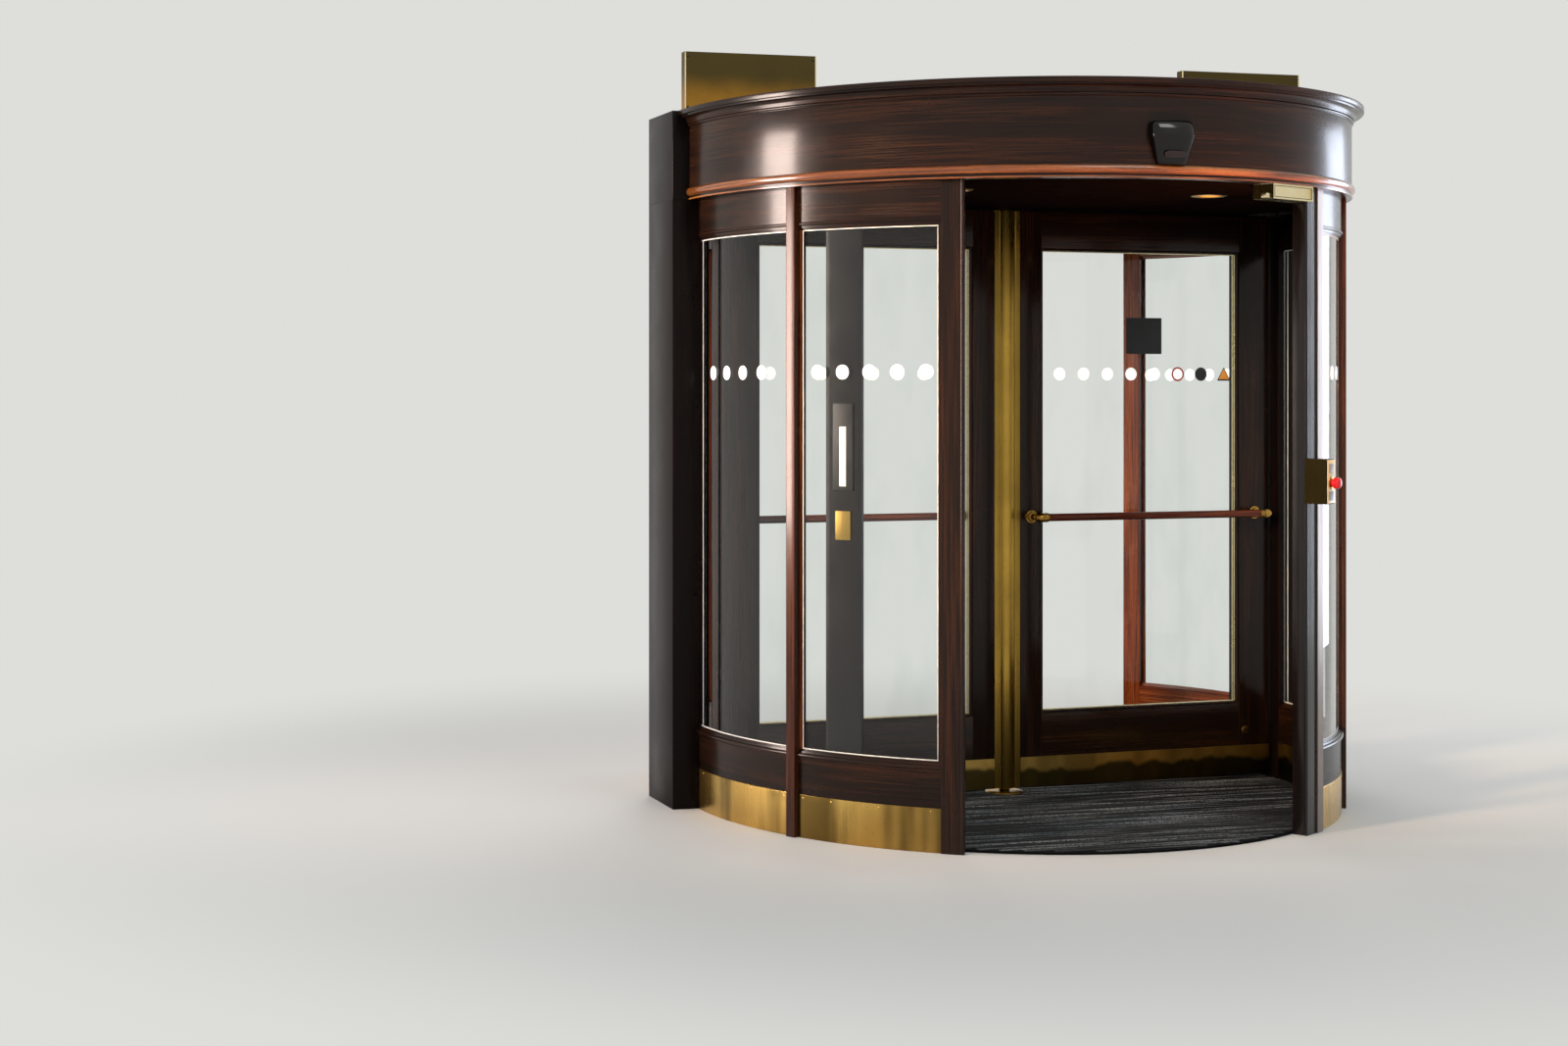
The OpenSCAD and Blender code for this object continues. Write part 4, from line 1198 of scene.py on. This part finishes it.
@dataclass
class Fittings:
    """Sensors, head box, control box, lamps, locks, screws, markers and signs."""

    drum: Drum = field(default_factory=Drum)
    rotor: Rotor = field(default_factory=Rotor)
    canopy: Canopy = field(default_factory=Canopy)
    sensor_z: float = 2.306
    sensor_h: float = 0.146
    sensor_w: float = 0.156
    sensor_d: float = 0.050
    marker_r: float = 0.025
    marker_z: float = 1.618
    marker_first: float = 0.238
    marker_pitch: float = 0.1056
    film: float = 0.0006
    control_angle: float = 32.2
    control_z: float = 1.160
    control_h: float = 0.157
    control_out: float = 0.089
    lamp_x: float = 0.5
    lamp_y: float = 0.66
    switch_z: tuple[float, float] = (0.046, -0.050)
    panel_front: float = 0.010
    panel_top: float = 2.815
    screw_x: tuple[float, float] = (1.276, 0.780)
    screw_margin: float = 0.016
    fold_x: tuple[float, float] = (1.2855, 0.7705)
    window_half: tuple[float, float] = (0.040, 0.013)
    window_tilt: float = 28.0
    window_place: Point = (0, -1.3135, 2.338)
    cylinder_place: tuple[float, float] = (1.062, 0.20)
    box_angle: float = 31.4 - math.degrees(math.asin(0.120 / 1.190)) - 0.3

    def sensor(self) -> Sheet:
        """A sensor housing, lofted from foot to shoulder.

        At height share t the half width w(t) and depth d(t) follow the knee,
        and the plan is a superellipse: x = w sgn(c)|c|^0.55, y = -d |s|^0.4.

        Returns:
            The closed sheet, its back on the fascia.
        """
        t = np.array([0.0, 0.02, 0.08, 0.2, 0.4, 0.61, 0.65, 0.69, 0.8, 0.9, 0.95, 0.98, 1.0])
        w = np.interp(t, [0, 0.02, 0.08, 0.65, 0.9, 0.95, 0.98, 1],
                      [0.60, 0.66, 0.72, 1.0, 0.99, 0.97, 0.93, 0.84])
        d = np.interp(t, [0, 0.02, 0.08, 0.61, 0.65, 0.9, 0.98, 1],
                      [0.42, 0.5, 0.58, 0.98, 1.0, 0.80, 0.62, 0.5])
        a = np.radians(np.linspace(0, 180, 33))
        c, s, fascia = np.cos(a), np.sin(a), self.canopy.fascia_r
        x = w[:, None] * self.sensor_w / 2 * np.sign(c) * np.abs(c) ** 0.55
        back = np.sqrt(fascia ** 2 - x ** 2)
        depth = (d[:, None] * self.sensor_d - (fascia - back)).clip(0.001)
        z = np.broadcast_to(self.sensor_z + t[:, None] * self.sensor_h, x.shape)
        return np.stack([x, -back - depth * np.abs(s) ** 0.4, z], -1), True, True

    def disc(self, radius: float, rim: float = 0.1 * MM) -> Sheet:
        """A thin film disc that faces -Y, or a ring if it has a rim."""
        a = np.linspace(0, 2 * np.pi, 33)[:, None]
        r, y = np.array([rim, rim, radius, radius]), np.array([0.0, -1.0, -1.0, 0.0]) * self.film
        points = np.stack(np.broadcast_arrays(r * np.cos(a), y, r * np.sin(a)), -1)
        return points, True, False

    def wrapped(self, sheet: Sheet, angle: float, z: float, flip: tuple[int, int, int]) -> Sheet:
        """Lays a flat film on the curved glass: x becomes an angle of x / R."""
        points = sheet[0]
        radius = self.drum.glass_out - points[..., 1]
        turned_by = angle + np.degrees(points[..., 0] / self.drum.glass_out)
        return on_drum(radius, turned_by, points[..., 2] + z) * np.array(flip), sheet[1], sheet[2]

    def leaf_film(self, sheet: Sheet, x: float, z: float) -> Sheet:
        """Lays a flat film on the room face of the right leaf's glass."""
        return placed(placed(sheet, shift=(x, -0.005, z)), spin(self.rotor.turn))

    def markers(self, shop: Workshop) -> None:
        """White marker dots on all glass at one height, bare stickers and a bare sign."""
        dot, z = self.disc(self.marker_r), self.marker_z
        sheets = [self.wrapped(dot, a, z, (x, y, 1)) for y, angles in (
            (1, (37.45, 42.2, 46.97, 51.8, 56.6, 69.1, 74.2, 79.3, 84.4)),
            (-1, (55.2, 59.6, 64.0, 68.6, 73.0))) for a in angles for x in (1, -1)]
        shop.piece("wall_marker_dots", sheets, WHITE_FILM, "glass")
        places = self.marker_first + self.marker_pitch * np.arange(8)
        dots = [self.leaf_film(dot, x, z) for x in places]
        dots = dots[:5] + [placed(s, spin(180)) for s in dots]
        shop.piece("leaf_marker_dots", dots, WHITE_FILM, "glass", body=ROTOR)
        corner = np.array([[-0.031, -0.026], [0.031, -0.026], [0, 0.028]])
        edge, amber = (placed(upright(soften(corner * scale, 4 * MM, 5), 0, depth), TO_ROOM)
                       for scale, depth in ((1.0, self.film), (0.78, 1.5 * self.film)))
        plate = soften(rectangle(-0.079, 0.079, -0.071, 0.071), 3 * MM, 4)
        sign = placed(upright(plate, 0, 2 * self.film), TO_ROOM)
        for name, sheet, x, height, finish in (
                ("leaf_sticker_white", self.disc(0.021), places[5], z, WHITE_FILM),
                ("leaf_sticker_ring", self.disc(0.028, 0.021), places[5], z, RED_FILM),
                ("leaf_sticker_black", self.disc(0.027), places[6], z, BLACK_FILM),
                ("leaf_sticker_edge", edge, places[7], z, BLACK_FILM),
                ("leaf_sticker_amber", amber, places[7], z, AMBER_FILM),
                ("leaf_blank_sign", sign, 0.613, 1.768, BLACK_FILM)):
            shop.piece(name, [self.leaf_film(sheet, x, height)], finish, "glass", body=ROTOR)

    def lamps(self, shop: Workshop) -> None:
        """Four ceiling lamps: a brass rim and a domed lens."""
        rim = mm([44, 9], [44, -1.4], [46, -2.6], [52, -3], [62, -2.4], [66, -0.8], [66, 0],
                 [55, 0], [55, 9])
        lens = mm([44, 9], [36, 7.5], [20, 6], [0.01, 5.5], [0.01, 18], [54.9, 18], [54.9, 9])
        for name, profile, finish, slot, *node in (
                ("lamp_rims", rim, BRASS, "brass", "downlights"),
                ("lamp_lenses", lens, LAMP, "lamp")):
            sheets = [placed(closed_lathe(profile, 48), shift=(x, y, self.drum.top))
                      for x in (-self.lamp_x, self.lamp_x) for y in (-self.lamp_y, self.lamp_y)]
            shop.piece(name, sheets, finish, slot, *node)

    def control(self, shop: Workshop) -> None:
        """End plate, switches, ring and mushroom button of the control box."""
        shop.dress(BOX_BRASS, "control_box")

        def facing(sheet: Sheet, z: float) -> Sheet:
            """A small part on the end of the box, turned to its angle."""
            out = -self.drum.radius - self.control_out
            return faced(sheet, (0, out, self.control_z + z), self.control_angle)

        middle, button = self.control_h / 2, self.control_h * 0.47
        plate = soften(rectangle(-0.0285, 0.0285, -0.0755, 0.0755), 2 * MM, 4)
        square = soften(rectangle(-0.016, 0.016, -0.016, 0.016), 3 * MM, 4)
        plate, square = (upright(plan, -0.2 * MM, thick, 0.6 * MM)
                         for plan, thick in ((plate, 1.6 * MM), (square, 4 * MM)))
        collar = mm([14, 0], [22.5, 0], [23, 1.5], [22, 3.5], [18, 4.6], [14, 4.6])
        cap = mm([0.01, 0], [13.6, 0], [13.6, 12], [18.6, 13], [19.9, 15], [20, 24], [19.4, 29],
                 [17, 32.6], [12, 34.8], [6, 35.8], [0.01, 36])
        switches = [facing(square, middle + d) for d in self.switch_z]
        for name, sheets, finish, slot, *node in (
                ("control_end_plate", [facing(plate, middle)], CREAM_PLATE, "brass"),
                ("control_switches", switches, GREY_PLATE, "black_plastic"),
                ("control_ring", [facing(closed_lathe(collar, 40), button)], BRASS, "brass"),
                ("mushroom_button", [facing(turned(cap), button)], RED_ABS, "red_plastic",
                 "stop_button")):
            shop.piece(name, sheets, finish, slot, *node)

    def panel_trims(self, shop: Workshop) -> None:
        """Screws and folded edges of the closing panels."""
        front, low, high = self.panel_front, self.canopy.top, self.panel_top
        head = turned(mm([5.2, -0.4], [5.0, 0.8], [4.0, 1.6], [2.0, 2.0], [0.01, 2.1]), 16)
        screws = [faced(head, (x, front, z)) for right in self.screw_x
                  for z in (low + self.screw_margin, high - self.screw_margin)
                  for x in (right, -right)]
        shop.piece("panel_screws", screws, DARK_STEEL, "brass")
        folds = []
        for x in self.fold_x:
            plan = rectangle(x - 2.5 * MM, x + 2.5 * MM, front - 2.2 * MM, front + 2 * MM)
            folds += mirrored([upright(soften(plan, MM, 3), low, high)])
        shop.piece("panel_folds", folds, PALE_BRASS, "brass")

    def head_box_trims(self, shop: Workshop) -> None:
        """Catch, frame line and end sheet of the box at the head of the jamb. The
        dark end sheet is painted shade on the box's left end.
        """
        half, floor, roof, line, face = 0.114, 2.216, 2.256, 2 * MM, -1.2698
        tongue = upright(soften(rectangle(-0.150, -0.118, -1.262, -1.240), 2 * MM, 3),
                         2.212, 2.228, MM)
        bars = [upright(rectangle(x0, x1, face - 0.6 * MM, face + MM), z0, z1)
                for x0, x1, z0, z1 in (
                    (-half, half, floor, floor + line), (-half, half, roof - line, roof),
                    (-half, -half + line, floor, roof), (half - line, half, floor, roof))]
        # Painted shade: a thin dark sheet laid over the box's left end.
        painted_shade_end = upright(rectangle(-0.1206, -0.1196, -1.2695, -1.1905), 2.2105, 2.2605)
        for name, sheets, finish in (
                ("catch", [tongue], PALE_BRASS), ("frame_line", bars, BOX_BRASS),
                ("painted_shade_end", [painted_shade_end], BOX_BRASS)):
            sheets = [placed(s, spin(self.box_angle)) for s in sheets]
            shop.piece(f"head_box_{name}", sheets, finish, "brass")

    def sensor_windows(self) -> list[Sheet]:
        """Smoked windows low on the sensors, tilted towards the floor."""
        a = np.linspace(0, 2 * np.pi, 33)[:-1]
        tilt = math.radians(self.window_tilt)
        plan = np.stack([half * np.sign(c) * np.abs(c) ** 0.6
                         for half, c in zip(self.window_half, (np.cos(a), np.sin(a)))], 1)
        lean = np.array([[1, 0, 0], [0, -math.sin(tilt), -math.cos(tilt)],
                         [0, math.cos(tilt), -math.sin(tilt)]])
        pane = placed(upright(plan, -2 * MM, 1.4 * MM, 0.5 * MM), lean, self.window_place)
        return [pane, placed(pane, flip=(1, -1, 1))]

    def locks(self, shop: Workshop) -> None:
        """Lock case and plates on the left lock post, and a key cylinder."""
        front = -self.drum.glass_in + self.drum.step
        for name, half, low, high, depth, finish, slot in (
                ("lock_case", 0.040, 1.21, 1.51, 4.2 * MM, DARK_STEEL, "black_plastic"),
                ("lock_front_plate", 0.013, 1.225, 1.43, 5.5 * MM, NICKEL_PLATE, "brass"),
                ("lock_pull_plate", 0.030, 1.04, 1.14, 4.5 * MM, BRASS, "brass")):
            plan = soften(rectangle(-half, half, front - depth, front + 4 * MM), 1.5 * MM, 4)
            plate = placed(upright(plan, low, high, MM), spin(-self.drum.lock_angle))
            shop.piece(name, [plate], finish, slot)
        cylinder = turned(mm([0.01, 0], [15, 0], [15, 1.5], [13.6, 3], [9, 3.4], [8.6, 4.6],
                             [0.01, 4.8]), 32)
        x, z = self.cylinder_place
        place = (x, -self.rotor.leaf_t / 2, z)
        discs = [faced(cylinder, place, self.rotor.turn + a) for a in (0, 180)]
        shop.piece("key_cylinders", discs, BRASS, "brass", body=ROTOR)

    def build(self, shop: Workshop) -> None:
        """Builds the fittings."""
        sensor = self.sensor()
        shop.piece("sensor_housings", [sensor, placed(sensor, flip=(1, -1, 1))], BLACK_ABS,
                   "black_plastic", "motion_sensors", sharp=60.0)
        shop.dress(PALE_BRASS, "head_box")
        shop.piece("kick_screws", self.drum.screws(), BRASS, "brass")
        self.lamps(shop)
        self.control(shop)
        self.locks(shop)
        self.panel_trims(shop)
        self.head_box_trims(shop)
        shop.piece("sensor_windows", self.sensor_windows(), LENS_ABS, "black_plastic")
        self.markers(shop)


# -------------------------------------------------------------------- studio

@dataclass
class Studio:
    """Camera, plain pale floor and soft light."""

    eye: tuple[float, float, float] = (-3.9016, -8.2856, 1.564)
    heading: float = -15.034
    lens: float = 53.657
    shift: tuple[float, float] = (0.1272, -0.0862)
    pale: str = "#dededa"
    ambient: float = 0.80
    fade: tuple[float, float] = (1.9, 4.4)
    floor_half: float = 80.0

    def camera(self) -> None:
        """The camera at the viewing angle of the photograph."""
        data = bpy.data.cameras.new("camera")
        data.sensor_width, data.lens = 36.0, self.lens
        data.shift_x, data.shift_y = self.shift
        camera = bpy.data.objects.new("camera", data)
        camera.location = self.eye
        camera.rotation_euler = (math.pi / 2, 0, math.radians(self.heading))
        bpy.context.scene.collection.objects.link(camera)
        bpy.context.scene.camera = camera

    def lamp(self, name: str, place: Point, aim: Point, size: tuple[float, float], power: float,
             colour: str, glossy: bool = False, spread: float = 180.0,
             in_glass: bool = False) -> None:
        """A soft rectangular lamp that only shows by its light.

        Args:
            name: name of the lamp.
            place: where it stands.
            aim: where it points.
            size: width and height.
            power: watts.
            colour: sRGB hex colour.
            glossy: True if polished surfaces mirror it.
            spread: angle of its beam, in degrees.
            in_glass: True if panes of glass mirror it too.
        """
        data = bpy.data.lights.new(name, "AREA")
        data.shape, data.size, data.size_y = "RECTANGLE", *size
        data.energy, data.color, data.spread = power, linear(colour)[:3], math.radians(spread)
        lamp = bpy.data.objects.new(name, data)
        lamp.location = place
        way = Vector(aim) - Vector(place)
        lamp.rotation_euler = way.to_track_quat("-Z", "Y").to_euler()
        lamp.visible_camera = lamp.visible_transmission = False
        lamp.visible_glossy = glossy
        if glossy and not in_glass:
            lamp.light_linking.receiver_collection = self.panes()
        bpy.context.scene.collection.objects.link(lamp)

    def panes(self) -> bpy.types.Collection:
        """A light-linking group that leaves the panes of glass out.

        Returns:
            The group, for a lamp whose hard image in the glass isn't wanted.
        """
        group = bpy.data.collections.new("panes")
        glass = bpy.data.materials[GLASS.name]
        for thing in bpy.context.scene.objects:
            if any(slot.material == glass for slot in thing.material_slots):
                group.objects.link(thing)
        for entry in group.collection_objects:
            entry.light_linking.link_state = "EXCLUDE"
        return group

    def build(self) -> None:
        """Sets up the studio."""
        self.camera()
        scene = bpy.context.scene
        scene.view_settings.view_transform = "Standard"
        self.lamp("key", (-5.0, -7.0, 5.5), (0, 0, 1.2), (4.0, 3.0), 155, "#fffaf4")
        self.lamp("left_warm", (-5.5, -3.0, 2.6), (-0.95, -0.95, 1.5), (0.8, 1.2), 34, "#ffcf9e",
                  spread=30.0)
        self.lamp("left_strip", (-5.8, 0.72, 2.1), (0, 0, 1.9), (1.3, 2.8), 88, "#ffe8dc",
                  glossy=True, spread=70.0)
        self.lamp("right_strip", (5.4, 1.0, 1.7), (0, 0, 1.5), (1.7, 3.2), 24, "#e2ecff",
                  glossy=True, spread=70.0, in_glass=True)
        self.lamp("street_sun", (1.6, 5.0, 5.2), (0.2, 0.4, 0.9), (3.0, 2.0), 190, "#fff4ea")
        self.lamp("floor_glow", (0.7, -3.0, 0.25), (0.5, -1.0, 2.5), (1.4, 0.6), 15, "#ffa25c",
                  spread=40.0)
        self.lamp("top_fill", (0.9, -4.2, 5.6), (0, 0, 1.4), (2.4, 1.2), 70, "#fffaf2",
                  glossy=True)
        self.world(scene)
        self.floor(scene)

    def seen_rays(self, shader: Shader) -> bpy.types.NodeSocket:
        """Returns 1 for rays that see the background: camera, glossy and transmission."""
        ray = shader.add("LightPath").node.outputs
        seen = ray["Is Transmission Ray"]
        for kind in ("Is Glossy Ray", "Is Camera Ray"):
            seen = shader.add("Math", {0: ray[kind], 1: seen}, operation="ADD", use_clamp=True)
        return seen

    def world(self, scene: bpy.types.Scene) -> None:
        """A pale background that gives an even light of its own."""
        shader = Shader("studio_world_nodes")
        world = bpy.data.worlds.new("studio")
        scene.world = world
        world.use_nodes = True
        world.node_tree.nodes.clear()
        shader.tree = world.node_tree
        level = shader.add("MapRange", {0: self.seen_rays(shader), 3: self.ambient, 4: 1.0})
        light = shader.add("Background", {0: self.pale, 1: level})
        shader.add("OutputWorld", {0: light})
        bpy.data.materials.remove(shader.material)

    def floor(self, scene: bpy.types.Scene) -> None:
        """A pale floor that fades into the background away from the object.

        Near the axis it is a matt floor that takes the shadow. Its share falls
        from 1 to 0 between two distances, for the rays that see it.
        """
        shader = Shader("studio_floor_pale")
        away = shader.add("VectorMath", {0: shader.place}, "Value", operation="LENGTH")
        fade = shader.add("MapRange", {0: away, 1: self.fade[0], 2: self.fade[1]},
                          interpolation_type="SMOOTHSTEP")
        fade = shader.add("Math", {0: fade, 1: self.seen_rays(shader)}, operation="MULTIPLY")
        matt = shader.add("BsdfPrincipled", {
            "Base Color": "#c6c9cb", "Roughness": 0.6, "Specular IOR Level": 0.2})
        pale = shader.add("Emission", {0: self.pale})
        finish = shader.finish(shader.add("MixShader", {0: fade, 1: matt, 2: pale}))
        mesh = bpy.data.meshes.new("floor")
        r = self.floor_half
        mesh.from_pydata([(-r, -r, 0), (r, -r, 0), (r, r, 0), (-r, r, 0)], [], [(0, 1, 2, 3)])
        mesh.materials.append(finish)
        floor = bpy.data.objects.new("studio_floor", mesh)
        floor.location.z = -0.5 * MM
        scene.collection.objects.link(floor)


def main() -> None:
    """Builds every sub-assembly in order."""
    logging.basicConfig(level=logging.INFO, format="%(message)s", stream=sys.stdout)
    shop = Workshop()
    for part in (Drum(), Canopy(), Floor(), Rotor(), Fittings()):
        part.build(shop)
    Studio().build()
    LOG.info("all pieces: %d triangles", shop.triangles)
    bpy.context.view_layer.update()


if __name__ == "__main__":
    main()
